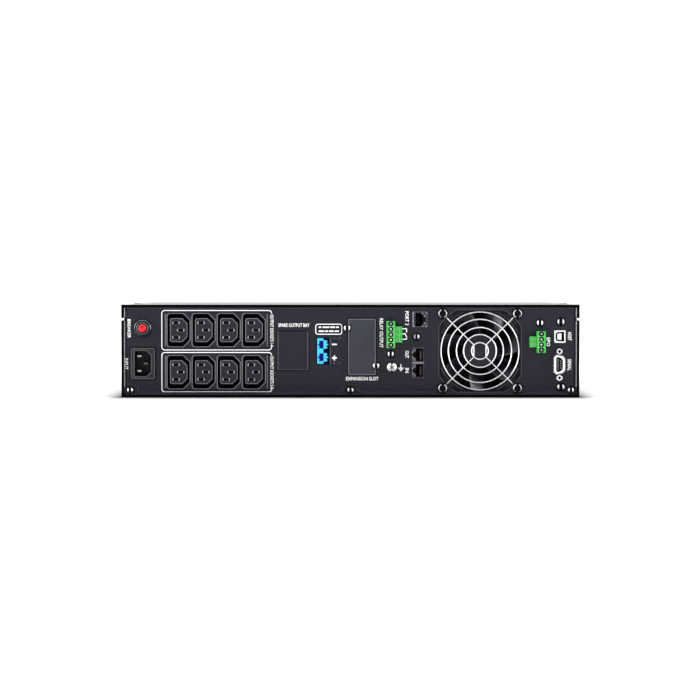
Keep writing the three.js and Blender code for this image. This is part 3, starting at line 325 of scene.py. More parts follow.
class Form:
    """Gathers closed bodies into one mesh, drawn in millimetres from an origin that may move."""

    def __init__(self, origin=(0.0, 0.0, 0.0), crease=SMOOTH_ANGLE):
        self.mesh = bmesh.new()
        self.origin = origin
        self.crease = crease  # edges bent further than this stay sharp

    def place(self, *steps):
        """Where a point given from the origin lies in the frame."""
        return tuple(start + step for start, step in zip(self.origin, steps))

    def point(self, x, y, z):
        return self.mesh.verts.new(self.place(x, y, z))

    def ring(self, outline, y):
        return [self.point(x, y, z) for x, z in outline]

    def sides(self, one, other):
        for i in range(len(one)):
            j = (i + 1) % len(one)
            self.mesh.faces.new((one[i], other[i], other[j], one[j]))

    def loft(self, rings):
        """A closed body through rings with the same number of points."""
        for one, other in zip(rings, rings[1:]):
            self.sides(one, other)
        self.mesh.faces.new(rings[0])
        self.mesh.faces.new(reversed(rings[-1]))
        return self

    def prism(self, outline, near, far):
        """An outline run along Y."""
        return self.loft([self.ring(outline, near), self.ring(outline, far)])

    def band(self, outer, inner, near, far):
        """A closed band between two outlines with the same number of points."""
        loops = [self.ring(outline, y)
                 for outline, y in ((outer, near), (outer, far), (inner, far), (inner, near))]
        for one, other in zip(loops, loops[1:] + loops[:1]):
            self.sides(one, other)
        return self

    def surround(self, size, outer, inner, near, far):
        """A band round the origin; outer and inner each say how much larger than size, a width
        and a height, they are and their corners' radius."""
        outlines = [rounded(size[0] + more, size[1] + more, radius) for more, radius in (outer, inner)]
        return self.band(*outlines, near, far)

    def box(self, x, y, z):
        """A box between two values of each of x, y and z."""
        (left, right), (near, far), (low, high) = sorted(x), sorted(y), sorted(z)
        return self.prism([(left, low), (right, low), (right, high), (left, high)], near, far)

    def turned(self, profile, x=0.0, z=0.0, steps=48):
        """Points of (radius, y) turned about a line along Y; the profile closes on that line
        or, if no radius is 0, on itself."""
        rings = []
        for radius, y in profile:
            if radius:
                rings.append(self.ring(circle(radius, x, z, steps), y))
            else:
                rings.append([self.point(x, y, z)])
        pairs = list(zip(rings, rings[1:]))
        if len(rings[0]) > 1:
            pairs.append((rings[-1], rings[0]))
        for one, other in pairs:
            if len(one) == len(other):
                self.sides(one, other)
                continue
            tip, rim = (one[0], other) if len(one) == 1 else (other[0], one)
            for i in range(steps):
                self.mesh.faces.new((tip, rim[i], rim[(i + 1) % steps]))
        return self

    def tube(self, path, radius, sides=12, closed=False):
        """Round wire along a path of points."""
        points = [Vector(self.place(*point)) for point in path]
        last = len(points) - 1
        rings = []
        for i, point in enumerate(points):
            before = points[i - 1] if closed or i else point
            after = points[0 if i == last else i + 1] if closed or i < last else point
            along = (after - before).normalized()
            across = along.cross(Vector((0, 1, 0)))
            if across.length < 0.01:
                across = along.cross(Vector((1, 0, 0)))
            across.normalize()
            up = across.cross(along)
            offsets = [(across * math.cos(a) + up * math.sin(a)) * radius
                       for a in (k * FULL_TURN / sides for k in range(sides))]
            rings.append([self.mesh.verts.new(point + offset) for offset in offsets])
        if not closed:
            return self.loft(rings)
        for one, other in zip(rings, rings[1:] + rings[:1]):
            self.sides(one, other)
        return self

    def torus(self, radius, wire, x=0.0, y=0.0, z=0.0, steps=96, sides=12):
        path = [(px, y, pz) for px, pz in circle(radius, x, z, steps)]
        return self.tube(path, wire, sides, closed=True)

    def moved(self, matrix):
        bmesh.ops.transform(self.mesh, matrix=matrix, verts=self.mesh.verts)
        return self

    def made(self, name, look, body="chassis", bevel=0.0, stands_for=(), slot=None):
        """Finishes the mesh as a named piece that rides on a body."""
        bmesh.ops.recalc_face_normals(self.mesh, faces=self.mesh.faces)
        self.moved(Matrix.Scale(MM, 4))
        data = bpy.data.meshes.new(name)
        self.mesh.to_mesh(data)
        self.mesh.free()
        data.materials.append(LOOKS[look])
        data.set_sharp_from_angle(angle=self.crease)
        piece = new_object(name, data)
        if bevel:
            round_edges(piece, bevel)
        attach(piece, body)
        if stands_for:
            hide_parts(*stands_for)
        return piece


def round_edges(piece, width):
    for face in piece.data.polygons:
        face.use_smooth = True
    bevel = piece.modifiers.new("bevel", "BEVEL")
    bevel.width = width * MM
    bevel.segments = 2
    bevel.limit_method = "ANGLE"
    bevel.angle_limit = SMOOTH_ANGLE
    bevel.harden_normals = True


def dress(node, look, bevel):
    """Gives a CAD node its look and rounds its edges."""
    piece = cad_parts[node]
    piece.data.materials.clear()
    piece.data.materials.append(LOOKS[look])
    facets = piece.data.attributes.get("custom_normal")
    if facets:
        piece.data.attributes.remove(facets)
    weld = piece.modifiers.new("weld", "WELD")
    weld.merge_threshold = 0.002 * MM
    merge = piece.modifiers.new("merge_flat_faces", "DECIMATE")
    merge.decimate_type = "DISSOLVE"
    merge.angle_limit = math.radians(0.5)
    round_edges(piece, bevel)


# ---------- studio ----------
def add_softbox(name, place, aim, size, power):
    data = bpy.data.lights.new(name, "AREA")
    data.shape = "RECTANGLE"
    data.size, data.size_y = size
    data.energy = power
    aimed(new_object(name, data), place, aim).visible_camera = False


def split_place(tree, space):
    """Sockets for X, Y and Z in a texture space."""
    place = tree.nodes.new("ShaderNodeTexCoord")
    split = tree.nodes.new("ShaderNodeSeparateXYZ")
    tree.links.new(place.outputs[space], split.inputs["Vector"])
    return split.outputs


def math_step(tree, operation, *values):
    """One sum on numbers or on other steps' results."""
    node = tree.nodes.new("ShaderNodeMath")
    node.operation = operation
    for socket, value in zip(node.inputs, values):
        if isinstance(value, bpy.types.NodeSocket):
            tree.links.new(value, socket)
        else:
            socket.default_value = value
    return node.outputs[0]


def studio_brightness(tree):
    """Bright to the sides and beyond the object, dim behind its rear panel."""
    place = split_place(tree, "Generated")
    levels = []
    for source, start, end, dim, bright in (
        (math_step(tree, "ABSOLUTE", place["X"]), 0.5, 0.8, 0.12, 1.3),
        (place["Y"], -0.5, 0.2, 0.12, 1.35),
    ):
        band = shader_node(tree, "ShaderNodeMapRange", From_Min=start, From_Max=end,
                           To_Min=dim, To_Max=bright)
        band.interpolation_type = "SMOOTHSTEP"
        tree.links.new(source, band.inputs["Value"])
        levels.append(band.outputs["Result"])
    return math_step(tree, "MAXIMUM", *levels)


SHADE_REACH = 13
SHADE_SLOWNESS = 0.33  # how much less a step along Y counts than one across
FLOOR_WHITE = 0.92


def contact_shade(tree):
    """0 where the floor meets the object, rising to white away from it."""
    def step(operation, *values):
        return math_step(tree, operation, *values)

    place = split_place(tree, "Object")
    middle, half = (FRONT + REAR) / 2 * MM, (FRONT - REAR) / 2 * MM
    across = step("SUBTRACT", step("ABSOLUTE", place["X"]), shell.right * MM)
    across = step("MAXIMUM", across, 0.0)
    along = step("SUBTRACT", step("ABSOLUTE", step("SUBTRACT", place["Y"], middle)), half)
    along = step("MULTIPLY", step("MAXIMUM", along, 0.0), SHADE_SLOWNESS)
    away = step("SQRT", step("ADD", step("POWER", across, 2.0), step("POWER", along, 2.0)))
    dark = step("EXPONENT", step("MULTIPLY", away, -1 / (SHADE_REACH * MM)))
    return step("MULTIPLY", step("SUBTRACT", 1.0, dark), FLOOR_WHITE)


def add_floor():
    bpy.ops.mesh.primitive_plane_add(size=60, location=(0, 0, -0.0002))
    floor = bpy.context.object
    floor.name = "floor"
    shader = new_shader("floor", (0.9, 0.9, 0.91), 0.9, specular=0.1)
    shade = contact_shade(shader.id_data)
    for socket in ("Base Color", "Emission Color"):
        shader.id_data.links.new(shade, shader.inputs[socket])
    shader.inputs["Emission Strength"].default_value = 0.18
    floor.data.materials.append(LOOKS["floor"])


def add_world():
    """A white backdrop that the camera sees, and the studio's light that the object sees."""
    world = bpy.data.worlds.new("studio")
    scene.world = world
    world.use_nodes = True
    tree = world.node_tree
    tree.nodes.clear()
    out = tree.nodes.new("ShaderNodeOutputWorld")
    shown = shader_node(tree, "ShaderNodeBackground", Color=(1, 1, 1, 1), Strength=1.1)
    light = shader_node(tree, "ShaderNodeBackground", Color=(1, 1, 1, 1))
    ray = tree.nodes.new("ShaderNodeLightPath")
    mix = tree.nodes.new("ShaderNodeMixShader")
    for source, socket in ((studio_brightness(tree), light.inputs["Strength"]),
                           (ray.outputs["Is Camera Ray"], mix.inputs["Fac"]),
                           (light.outputs["Background"], mix.inputs[1]),
                           (shown.outputs["Background"], mix.inputs[2]),
                           (mix.outputs["Shader"], out.inputs["Surface"])):
        tree.links.new(source, socket)


add_floor()
add_world()
add_softbox("overhead", (0, -0.6, 2.2), (0, -0.2, 0), (3, 2), 38)
for side, word in ((-1, "left"), (1, "right")):
    add_softbox(f"strip_{word}", (side * 2.4, -0.9, 0.6), (0, -0.2, 0.05), (0.9, 1.8), 50)
scene.view_settings.view_transform = "Standard"


# ---------- ink and lettering ----------
FACING_REAR = Matrix.Rotation(QUARTER_TURN, 4, "X")
FACING_FRONT = Matrix.Rotation(math.pi, 4, "Z") @ FACING_REAR


def lettering(name, words, place, width, height, down=False, facing=FACING_REAR, look="white_ink"):
    """Words fitted to a width and height round their place on a face; down turns them a quarter."""
    curve = bpy.data.curves.new(name, "FONT")
    curve.body = words
    curve.offset = 0.01
    curve.extrude = 0.5
    curve.resolution_u = 3
    holder = new_object(name, curve)
    bpy.context.view_layer.update()
    graph = bpy.context.evaluated_depsgraph_get()
    data = bpy.data.meshes.new_from_object(holder.evaluated_get(graph))
    bpy.data.objects.remove(holder)
    if down:
        data.transform(Matrix.Rotation(-QUARTER_TURN, 4, "Z"))
    corners = [v.co for v in data.vertices]
    least, most = (Vector([pick(c[i] for c in corners) for i in range(3)]) for pick in (min, max))
    size = most - least
    scale = Matrix.Diagonal((width / size.x, height / size.y, INK / size.z, 1))
    outward = -1 if facing is FACING_REAR else 1
    x, face, z = place
    middle = Matrix.Translation((x, face + outward * (LIFT + INK / 2), z))
    centred = Matrix.Translation(-(least + most) / 2)
    data.transform(Matrix.Scale(MM, 4) @ middle @ facing @ scale @ centred)
    data.materials.append(LOOKS[look])
    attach(new_object(name, data), "chassis")


def print_frame(name, x, z, width, height, radius, line, open_right=False):
    """A printed outline; open_right leaves out the straight line on its right."""
    steps = 5
    outer = rounded(width, height, radius, steps=steps)
    inner = rounded(width - 2 * line, height - 2 * line, radius - line, steps=steps)
    form = Form((x, FACE, z))
    if open_right:
        first = steps + 1
        outer, inner = (path[first:] + path[:first] for path in (outer, inner))
        form.prism(outer + inner[::-1], *INK_REAR)
    else:
        form.band(outer, inner, *INK_REAR)
    form.made(name, "white_ink")


def print_lines(name, origin, strokes, line, depth=INK_REAR, look="white_ink", body="chassis"):
    """Straight strokes of ink on a face, each (x, z, x, z) from the origin."""
    form = Form(origin)
    for x0, z0, x1, z1 in strokes:
        along = Vector((x1 - x0, z1 - z0)).normalized()
        x, z = -along.y * line / 2, along.x * line / 2
        form.prism([(x0 + x, z0 + z), (x0 - x, z0 - z), (x1 - x, z1 - z), (x1 + x, z1 + z)], *depth)
    form.made(name, look, body)


# ---------- kinds of screw ----------
def screw_head(place, radius, height, flat=35, slot=0.0):
    """A dome standing on its place, round about the flat middle its recess is cut in; flat is
    the slope in degrees where dome and middle meet, slot the half width of an upright gap that
    parts the dome into two lobes."""
    form = Form(place, crease=math.radians(22))
    steps = 8
    slopes = [math.radians(flat + (90 - flat) * i / steps) for i in range(steps + 1)]
    for side in (1, -1) if slot else (0,):
        rings = []
        for slope in slopes:
            up = math.cos(slope) / math.cos(slopes[0]) * height
            rings.append(form.ring(circle(radius * math.sin(slope)), -up))
        for one, other in zip(rings, rings[1:]):
            form.sides(one, other)
        form.mesh.faces.new(rings[0])
        form.mesh.faces.new(rings[-1])
        if side:
            lobe = [v for ring in rings for v in ring]
            parts = lobe + list({e for v in lobe for e in v.link_edges})
            parts += list({f for v in lobe for f in v.link_faces})
            cut = bmesh.ops.bisect_plane(form.mesh, geom=parts, plane_co=form.place(side * slot, 0, 0),
                                         plane_no=(-side, 0, 0), clear_outer=True)
            edges = [g for g in cut["geom_cut"] if isinstance(g, bmesh.types.BMEdge)]
            bmesh.ops.holes_fill(form.mesh, edges=edges)
    return form


def cross_recess(form, top, arm, turn):
    """A Phillips cross lying on a screw's flat middle at Y = top, drawn solid: the black it is given is
    painted shade of the recess.
    """
    half = arm * 0.28
    points = []
    for i in range(4):
        angle = turn + i * QUARTER_TURN
        along = Vector((math.cos(angle), math.sin(angle)))
        side = Vector((-along.y, along.x))
        for out, across in ((half, -half), (arm, -half), (arm, half)):
            points.append(tuple(along * out + side * across))
    form.prism(points, top - 0.06, top + 0.3)


def slotted_screw(place, radius, height):
    """A small cheese-head screw with a straight slot, as two half rounds on a disc."""
    form = Form(place)
    form.turned([(0, 0), (radius, 0), (radius, -height * 0.5), (0, -height * 0.5)], steps=32)
    start = math.asin(0.16)  # the slot's half width as a share of the radius
    arc = [start + i * (math.pi - 2 * start) / 16 for i in range(17)]
    for side in (1, -1):
        outline = [(radius * math.cos(a), side * radius * math.sin(a)) for a in arc]
        form.prism(outline, -height, -height * 0.45)
    return form


# ---------- CAD nodes kept as they are: look, bevel in millimetres, nodes ----------
for look, bevel, nodes in (
    ("shell_paint", 0.4, "base_chassis top_cover"),
    ("rear_panel_paint", 0.3, "rear_panel front_panel blank_cover"),
    ("shell_paint", 0.5, "rack_ear_left rack_ear_right"),
    ("slot_cover_paint", 0.35, "slot_cover"),
    ("inner_steel", 0.2, "battery_retainer battery_tray bay_divider"),
    ("bezel_plastic", 0.6, "front_bezel battery_door"),
    ("black_plastic", 0.3, "breaker_body bus_capacitor"),
    ("fan_plastic", 0.3, "fan_frame"),
    ("socket_plastic", 0.25, "outlet_bank_upper outlet_bank_lower"),
    ("inlet_plastic", 0.35, "inlet_housing"),
    ("jack_plastic", 0.25, "network_jack surge_jack_pair"),
    ("green_plastic", 0.25, "relay_header relay_plug power_off_header power_off_plug"),
    ("pin_metal", 0.3, "inlet_pin_line inlet_pin_neutral"),
    ("earth_pin_metal", 0.3, "inlet_pin_earth"),
    ("nickel", 0.2, "serial_port serial_standoff_upper serial_standoff_lower"),
    ("aluminium", 0.2, "heat_sink_left heat_sink_right"),
    ("board_green", 0.1, "network_board port_board display_board power_board"),
    ("battery_plastic", 1.0, "battery_block_1 battery_block_2 battery_block_3"),
    ("copper", 1.0, "output_inductor"),
    ("lens_glass", 0.4, "display_lens"),
    ("key_plastic", 0.35, "up_key down_key enter_key"),
    ("key_plastic", 0.4, "power_button"),
):
    for node in nodes.split():
        dress(node, look, bevel)


# ---------- enclosure ----------
SEAM_LOW, SEAM_HIGH = 73.3, 75.6  # the groove between chassis and cover


def edge_lips():
    """Rounded lips along the panel's upright edges in light grey, a painted highlight of the folded edges,
    broken by the seam's groove; the black strips inboard of them are painted shade.
    """
    lips, shade_lines = Form((0, FACE, 0)), Form((0, FACE, 0))
    for side in (-1, 1):
        x = side * (panel.right - 1.35)
        for low, high in ((panel.low + 8.2, SEAM_LOW - 0.8), (SEAM_HIGH + 0.9, panel.high - 0.1)):
            lips.tube([(x, 0.1, low), (x, 0.1, high)], 0.42, 16)
        groove = (side * (panel.right - 2.4), side * (panel.right - 3.3))
        shade_lines.box(groove, (-0.06, 0.1), (panel.low + 8.2, panel.high - 0.1))
    lips.made("panel_edge_lips", "lip_highlight_grey")
    shade_lines.made("panel_edge_shade_lines", "black_and_painted_shade")


def shell_hems():
    """The shell's folded edge round the chassis and round the cover, in a far darker, duller copy of the
    shell paint: painted shade of the unlit edge.
    """
    form = Form((0, REAR, 0))
    depth, width = (-0.12, 1.1), 1.75
    for side in (-1, 1):
        x = (side * shell.right, side * (shell.right - width))
        form.box(x, depth, (0, SEAM_LOW))
        form.box(x, depth, (SEAM_HIGH, shell.high))
    form.box((shell.left + 1, shell.right - 1), depth, (0, 2.0))
    form.box((shell.left, shell.right), depth, (shell.high - 2.0, shell.high + 0.45))
    form.made("shell_hems", "hem_shade_paint")


def panel_folds():
    """Fine raised lines along the panel in lighter paint, a painted highlight of lit edges: one under its
    top edge, and one over its bottom edge that passes round each of the three bottom screws."""
    form = Form((0, FACE + 0.1, 0))
    wire = 0.3
    for z in (panel.high - 0.7, panel.low + 1.1):
        form.tube([(panel.left + 4, 0, z), (panel.right - 4, 0, z)], wire, 8)
    left, middle, right = (Spot(f"panel_screw_{word}").x for word in ("left", "middle", "right"))
    clear, turn = 7.4, 2.6
    low, high = panel.low + 3.1, panel.low + 8.0
    for start, end in ((left + clear, middle - clear), (middle + clear, right - clear)):
        path = []
        for x, side in ((start, 1), (end, -1)):
            bend = [(x, 0, high)]
            for angle in (step / 4 * QUARTER_TURN for step in range(5)):
                inward, rise = turn * (1 - math.cos(angle)), turn * (1 - math.sin(angle))
                bend.append((x + side * inward, 0, low + rise))
            path += bend if side > 0 else reversed(bend)
        form.tube(path, wire, 8)
    form.made("panel_fold_lines", "edge_highlight_paint")


# ---------- screws ----------
DOME = 0.62  # height of a screw head as a share of its radius
LARGE, MIDDLING = 4.0, 3.4  # radii above which a screw's flat middle and its gap differ
TAB = 4.6  # from the slot cover's ends to its screws


def screw_places():
    """Each screw's middle on its face, its radius and the CAD node that it stands for."""
    relay, network, stop = Spot("relay_header"), Spot("network_jack"), Spot("power_off_header")
    usb, post, cover = Spot("usb_port"), Spot("serial_standoff_lower"), Spot("slot_cover")
    named = [(f"panel_screw_{word}", 3.0) for word in ("left", "middle", "right")]
    named += [(f"fan_screw_{i}", 4.5) for i in range(1, 5)]
    return [(Spot(name).on(FACE), radius, name) for name, radius in named] + [
        ((cover.left + TAB, cover.near, cover.z + 18), 3.3, None),
        ((cover.right - TAB, cover.near, cover.z - 18.1), 3.3, None),
        ((relay.x, FACE, relay.low - 6.2), 3.05, None),
        ((network.x - 3.3, FACE, network.low - 9.0), 2.9, None),
        ((stop.x - 0.7, FACE, stop.high + 8.0), 3.15, None),
        ((usb.x + 1.0, FACE, usb.high + 8.2), 3.5, None),
        ((post.x + 1.7, FACE, post.z - 9.0), 3.5, None),
    ]


def add_screws():
    """Bright metal domes parted into two lobes over a dark flat middle, with a dark ring round each: the
    middle, its cross and the ring are painted shade, which leaves the lobes as the head's two side
    highlights.
    """
    forms = shade_rings, middles, recesses = Form(), Form(), Form()
    for i, (place, radius, name) in enumerate(screw_places()):
        large = radius > LARGE
        flat = 48 if large else 26
        gap = radius * (0.3 if large else 0.5 if radius > MIDDLING else 0.42)
        head = screw_head(place, radius, radius * DOME, flat, gap)
        head.made(f"{name or 'board_screw'}_head_{i + 1}", "fan_screw_metal" if large else "screw_metal",
                  stands_for=[name] if name else (), slot="dark_metal")
        for form in forms:
            form.origin = place
        shade_rings.turned([(radius, -0.2), (radius + 0.9, -0.2), (radius + 1.1, 0.1), (radius, 0.1)], steps=40)
        top = -radius * DOME
        middle = radius * math.sin(math.radians(flat))
        middles.turned([(0, top - 0.03), (middle - 0.1, top - 0.03), (middle, top + 0.06), (middle, 0),
                        (radius - 0.4, -0.3), (radius - 0.4, 0), (0, 0)], steps=32)
        cross_recess(recesses, top, middle * 0.8, turn=0.3 + i)
    shade_rings.made("screw_shade_rings", "hem_shade_paint")
    middles.made("screw_middles", "screw_shade_black")
    recesses.made("screw_recesses", "black_and_painted_shade")
    socket = Spot("battery_connector")
    dim = Form()
    for up in (12.0, -12.0):
        dim.origin = (socket.right + 8.3, FACE, socket.z + up)
        dim.torus(2.6, 0.5, steps=32, sides=10)
        dim.turned([(0, -0.6), (1.6, -0.6), (2.2, 0), (0, 0)], steps=24)
    dim.made("battery_connector_screws", "dull_black_metal")


def ground_terminal():
    """A bright bonding screw whose slot and cross part its head into two lobes; the black disc under it,
    the cross and the dark wedges at the head's top and bottom are painted shade.
    """
    at = Spot("ground_screw")
    shade = Form(at.on(FACE)).turned([(0, -0.9), (4.9, -0.9), (5.1, -0.6), (5.1, 0), (0, 0)])
    shade.made("ground_screw_shade", "screw_shade_black")
    head = screw_head(at.on(FACE - 0.9), 4.7, 2.5, flat=30, slot=0.45)
    head.made("ground_screw_head", "plated_steel", stands_for=["ground_screw"], slot="bright_metal")
    cross, top = Form(at.on(FACE)), -3.4
    for side in (-1, 1):
        for up in (-1, 1):
            x, z = side * 2.7, up * 2.0
            cross.prism([(0, 0.5), (0, -0.5), (x, z - 0.35), (x, z + 0.35)], top - 0.08, top + 0.3)
        cross.prism([(-1.5, side * 4.75), (1.5, side * 4.75), (0, side * 2.6)], top - 0.08, 0)
    cross.made("ground_screw_recess", "screw_shade_black")


edge_lips()
shell_hems()
panel_folds()
add_screws()
ground_terminal()


# ---------- breaker ----------
def breaker_details():
    nut, button = Spot("breaker_nut"), Spot("breaker_button")
    r, end = button.width / 2, button.depth - 1
    dome = [(0, 0), (r * 0.45, 0.05), (r * 0.72, 0.3), (r * 0.9, 0.85), (r * 0.98, 1.6), (r, 2.4),
            (r, end), (0, end)]
    cap = Form(nut.on(button.near)).turned(dome, steps=64)
    cap.made("breaker_cap", "red_plastic", "breaker_button", stands_for=["breaker_button"],
             slot="red_plastic")
    collar = Form(nut.on(Spot("breaker_body").near)).torus(5.3, 0.5, y=-0.15, steps=64)
    collar.made("breaker_collar", "collar_metal")
    thread = Form(nut.on(nut.near))
    for i in range(3):
        thread.torus(6.75, 0.22, y=-0.5 - i * 0.8, steps=64, sides=8)
    thread.made("breaker_thread", "black_plastic")
    ring = [(7.0, -0.3), (7.0, -2.2), (7.3, -2.6), (7.7, -2.65), (8.1, -2.4), (8.4, -1.8), (8.5, -1.0),
            (8.5, -0.3)]
    Form(nut.on(FACE)).turned(ring, steps=64).made("breaker_ring_nut", "black_nickel",
                                                   stands_for=["breaker_nut"], slot="dark_metal")
    washer = Form(nut.on(FACE)).turned([(7.0, -0.25), (9.1, -0.25), (9.1, 0.1), (7.0, 0.1)], steps=64)
    washer.made("breaker_washer", "black_and_painted_shade")


# ---------- mains inlet ----------
def inlet_details():
    at = Spot("inlet_housing")
    # The black band round the housing is a painted shadow of its gap; the rim and mouth in lighter plastic,
    # with tubes along the chamfers, are a painted highlight; the black lining and floor inside the cavity
    # are painted shade.
    shadow_gap = Form(at.on(FACE)).surround(at.size, (1.9, 2.2), (-0.2, 1.4), -0.15, 0.2)
    shadow_gap.made("inlet_shadow_gap", "black_and_painted_shade")
    rim = Form(at.origin).surround(at.size, (-0.5, 1.3), (-2.6, 0.6), -0.4, 0.3)
    rim.made("inlet_rim", "rim_highlight_trim", bevel=0.15)
    cavity = socket_outline(-7.9, 7.9, 12.1, 4.5, 0.3)
    mouth = Form(at.origin).band(socket_outline(-9.1, 8.9, 13.3, 4.9, 0.8), cavity, -0.4, 0.3)
    for up in (-1, 1):
        mouth.tube([(4.1, -0.35, up * 12.6), (8.6, -0.35, up * 8.1)], 0.5, 8)
    mouth.made("inlet_mouth", "rim_highlight_trim", bevel=0.15)
    lining = socket_outline(-7.6, 7.6, 11.8, 4.35, 0.2)
    cavity_shade = Form(at.origin).band(cavity, lining, 0.5, 16.8).prism(lining, 16.0, 16.8)
    cavity_shade.made("inlet_cavity_shade", "fan_plastic")


# ---------- outlets ----------
OUTLET_PITCH = 24
OUTLET_COUNT = 4
SLOT_AT = ((-2.6, 7.0), (-2.6, -7.0), (1.9, 0.0))


def outlet_details(level):
    """Raised lines in lighter plastic round each socket's moat, tongue and slots, a painted highlight;
    light grey bits at the slots' ends, a painted glint; and black in the moat, down its walls, on its
    floor, at the tongue's corners and in the slots, painted shade."""
    bank = Spot(f"outlet_bank_{level}")
    forms = rims, recess_shade, slot_glints, edges = Form(), Form(), Form(), Form()
    moat = socket_outline(-10.4, 10.4, 15.65, 6.1, 2.6)
    tongue = socket_outline(-8.25, 8.25, 11.35, 5.0, 2.1)
    for i in range(OUTLET_COUNT):
        for form in forms:
            x = bank.x + (i - (OUTLET_COUNT - 1) / 2) * OUTLET_PITCH
            form.origin = (x, bank.near, bank.z)
        rims.band(socket_outline(-11.7, 11.3, 16.3, 6.5, 2.8),
                  socket_outline(-10.8, 10.5, 15.7, 6.15, 2.6), -0.35, 0.4)
        recess_shade.band(socket_outline(-10.9, 10.55, 15.75, 6.15, 2.6), moat, -0.1, 0.3)
        rims.band(tongue, socket_outline(-7.5, 7.6, 10.65, 4.7, 1.7), -0.3, 0.4)
        recess_shade.band(socket_outline(-10.45, 10.45, 15.7, 6.15, 2.4),
                   socket_outline(-10.1, 10.1, 15.35, 6.0, 2.3), 1.2, 16.8)
        recess_shade.band(moat, tongue, 14.0, 14.6)
        for up in (-1, 1):
            edge = up * 11.45
            recess_shade.prism([(-8.35, edge), (-7.25, edge), (-8.35, edge - up * 1.1)], -0.06, 2.0)
        for x, z in SLOT_AT:
            edges.band(chamfered(6.2, 4.1, 0.4, x, z), chamfered(5.05, 2.95, 0.1, x, z), -0.12, 0.4)
            recess_shade.box((x - 2.48, x + 2.48), (0.6, 1.0), (z - 1.43, z + 1.43))
            for side in (-1, 1):
                slot_glints.prism(rounded(0.85, 2.5, 0.4, x + side * 3.0, z), -0.3, 0.3)
    rims.origin = bank.origin
    for x in (-48.7, 48.7):
        rims.box((x - 0.4, x + 0.4), (-0.3, 0.4), (-15.6, 15.6))
    rims.made(f"outlet_rims_{level}", "socket_highlight_trim", bevel=0.12)
    recess_shade.made(f"outlet_recess_shade_{level}", "black_and_painted_shade")
    slot_glints.made(f"outlet_slot_glints_{level}", "slot_glint_grey", bevel=0.25)
    edges.made(f"outlet_slot_edges_{level}", "slot_edge_highlight", bevel=0.1)
    print_frame(f"outlet_frame_{level}", bank.x + 0.3, bank.z - 0.1, 105.8, 38.5, 3.2, 0.75,
                open_right=True)


breaker_details()
inlet_details()
outlet_details("upper")
outlet_details("lower")


# ---------- covers and battery connector ----------
def blank_cover_details():
    at = Spot("blank_cover")
    # The black band round the cover is painted shade of its gap, and the lips in lighter paint are a
    # painted highlight of its folded edges.
    gap = Form(at.on(FACE)).surround(at.size, (1.5, 1.4), (-0.2, 0.8), -0.12, 0.2)
    gap.made("blank_cover_gap_shade", "black_and_painted_shade")
    lips = Form(at.origin)
    half, high = at.width / 2, at.height / 2
    for side in (-1, 1):
        x = side * (half - 0.7)
        lips.box((x - 0.5, x + 0.5), (-0.4, 0.3), (0.2 - high, high - 0.2))
    lips.box((0.3 - half, half - 0.3), (-0.2, 0.3), (0.2 - high, 0.8 - high))
    lips.made("blank_cover_lips", "edge_highlight_paint", bevel=0.2)


def slot_cover_details():
    """A raised edge in much lighter paint round the accessory slot's cover, a painted highlight, whose
    screw tabs stand out at the sides; the black band round it is painted shade of its gap.
    """
    at = Spot("slot_cover")
    x, size = at.left + 18.8, (26.5, 53.9)  # the part between the tabs
    gap = Form((x, FACE, at.z)).surround(size, (1.5, 1.6), (-0.2, 1.0), -0.12, 0.2)
    gap.made("slot_cover_gap_shade", "black_and_painted_shade")
    edge = Form((x, at.near, at.z)).surround(size, (-0.2, 1.6), (-1.9, 1.2), -0.25, 0.3)
    edge.made("slot_cover_edge", "cover_edge_highlight", bevel=0.15)


def battery_connector_details():
    """A light-blue comb with a toothed prong; the deep blue in each pole's cavity and the navy box behind
    are painted shade, and the lip beside it in lighter paint is a painted highlight.
    """
    at = Spot("battery_connector")
    origin, end = (at.left, at.near, 0), at.depth
    comb, pole_shade, tray_shade = Form(origin), Form(origin), Form(origin)
    upper, lower = at.z + 6.2, at.z - 6.0
    comb.box((0.9, 2.9), (-0.4, end), (at.low, at.high))
    for span in ((at.high, upper + 3.7), (upper - 3.7, lower + 3.7), (lower - 3.7, at.low)):
        comb.box((2.5, 6.9), (-0.4, end), span)
    for z in (upper, lower):
        comb.box((7.0, 9.7), (-0.4, end), (z - 4.0, z + 4.0))
        for step, reach in ((-2.9, 10.5), (0.0, 11.3), (2.9, 10.5)):
            comb.box((9.5, reach), (-0.2, end), (z + step - 0.8, z + step + 0.8))
        pole_shade.box((2.8, 6.95), (0.6, end - 1), (z - 3.8, z + 3.8))
        pole_shade.box((1.5, 3.0), (-0.5, 1), (z - 0.75, z + 0.75))
    comb.made("battery_connector_comb", "blue_plastic", bevel=0.25, stands_for=["battery_connector"],
              slot="blue_plastic")
    pole_shade.made("battery_connector_cavity_shade", "blue_shade", bevel=0.1)
    span = (at.low - 0.6, at.high + 0.6)
    tray_shade.box((0, 12.9), (1.2, 9.0), span).made("battery_connector_back_shade", "navy_shade")
    lip = Form((at.left, FACE, 0)).box((12.9, 14.1), (-0.3, 0.3), span)
    lip.made("battery_connector_lip", "edge_highlight_paint", bevel=0.15)


blank_cover_details()
slot_cover_details()
battery_connector_details()


# ---------- screw terminals ----------
TERMINAL_PITCH = 5.08


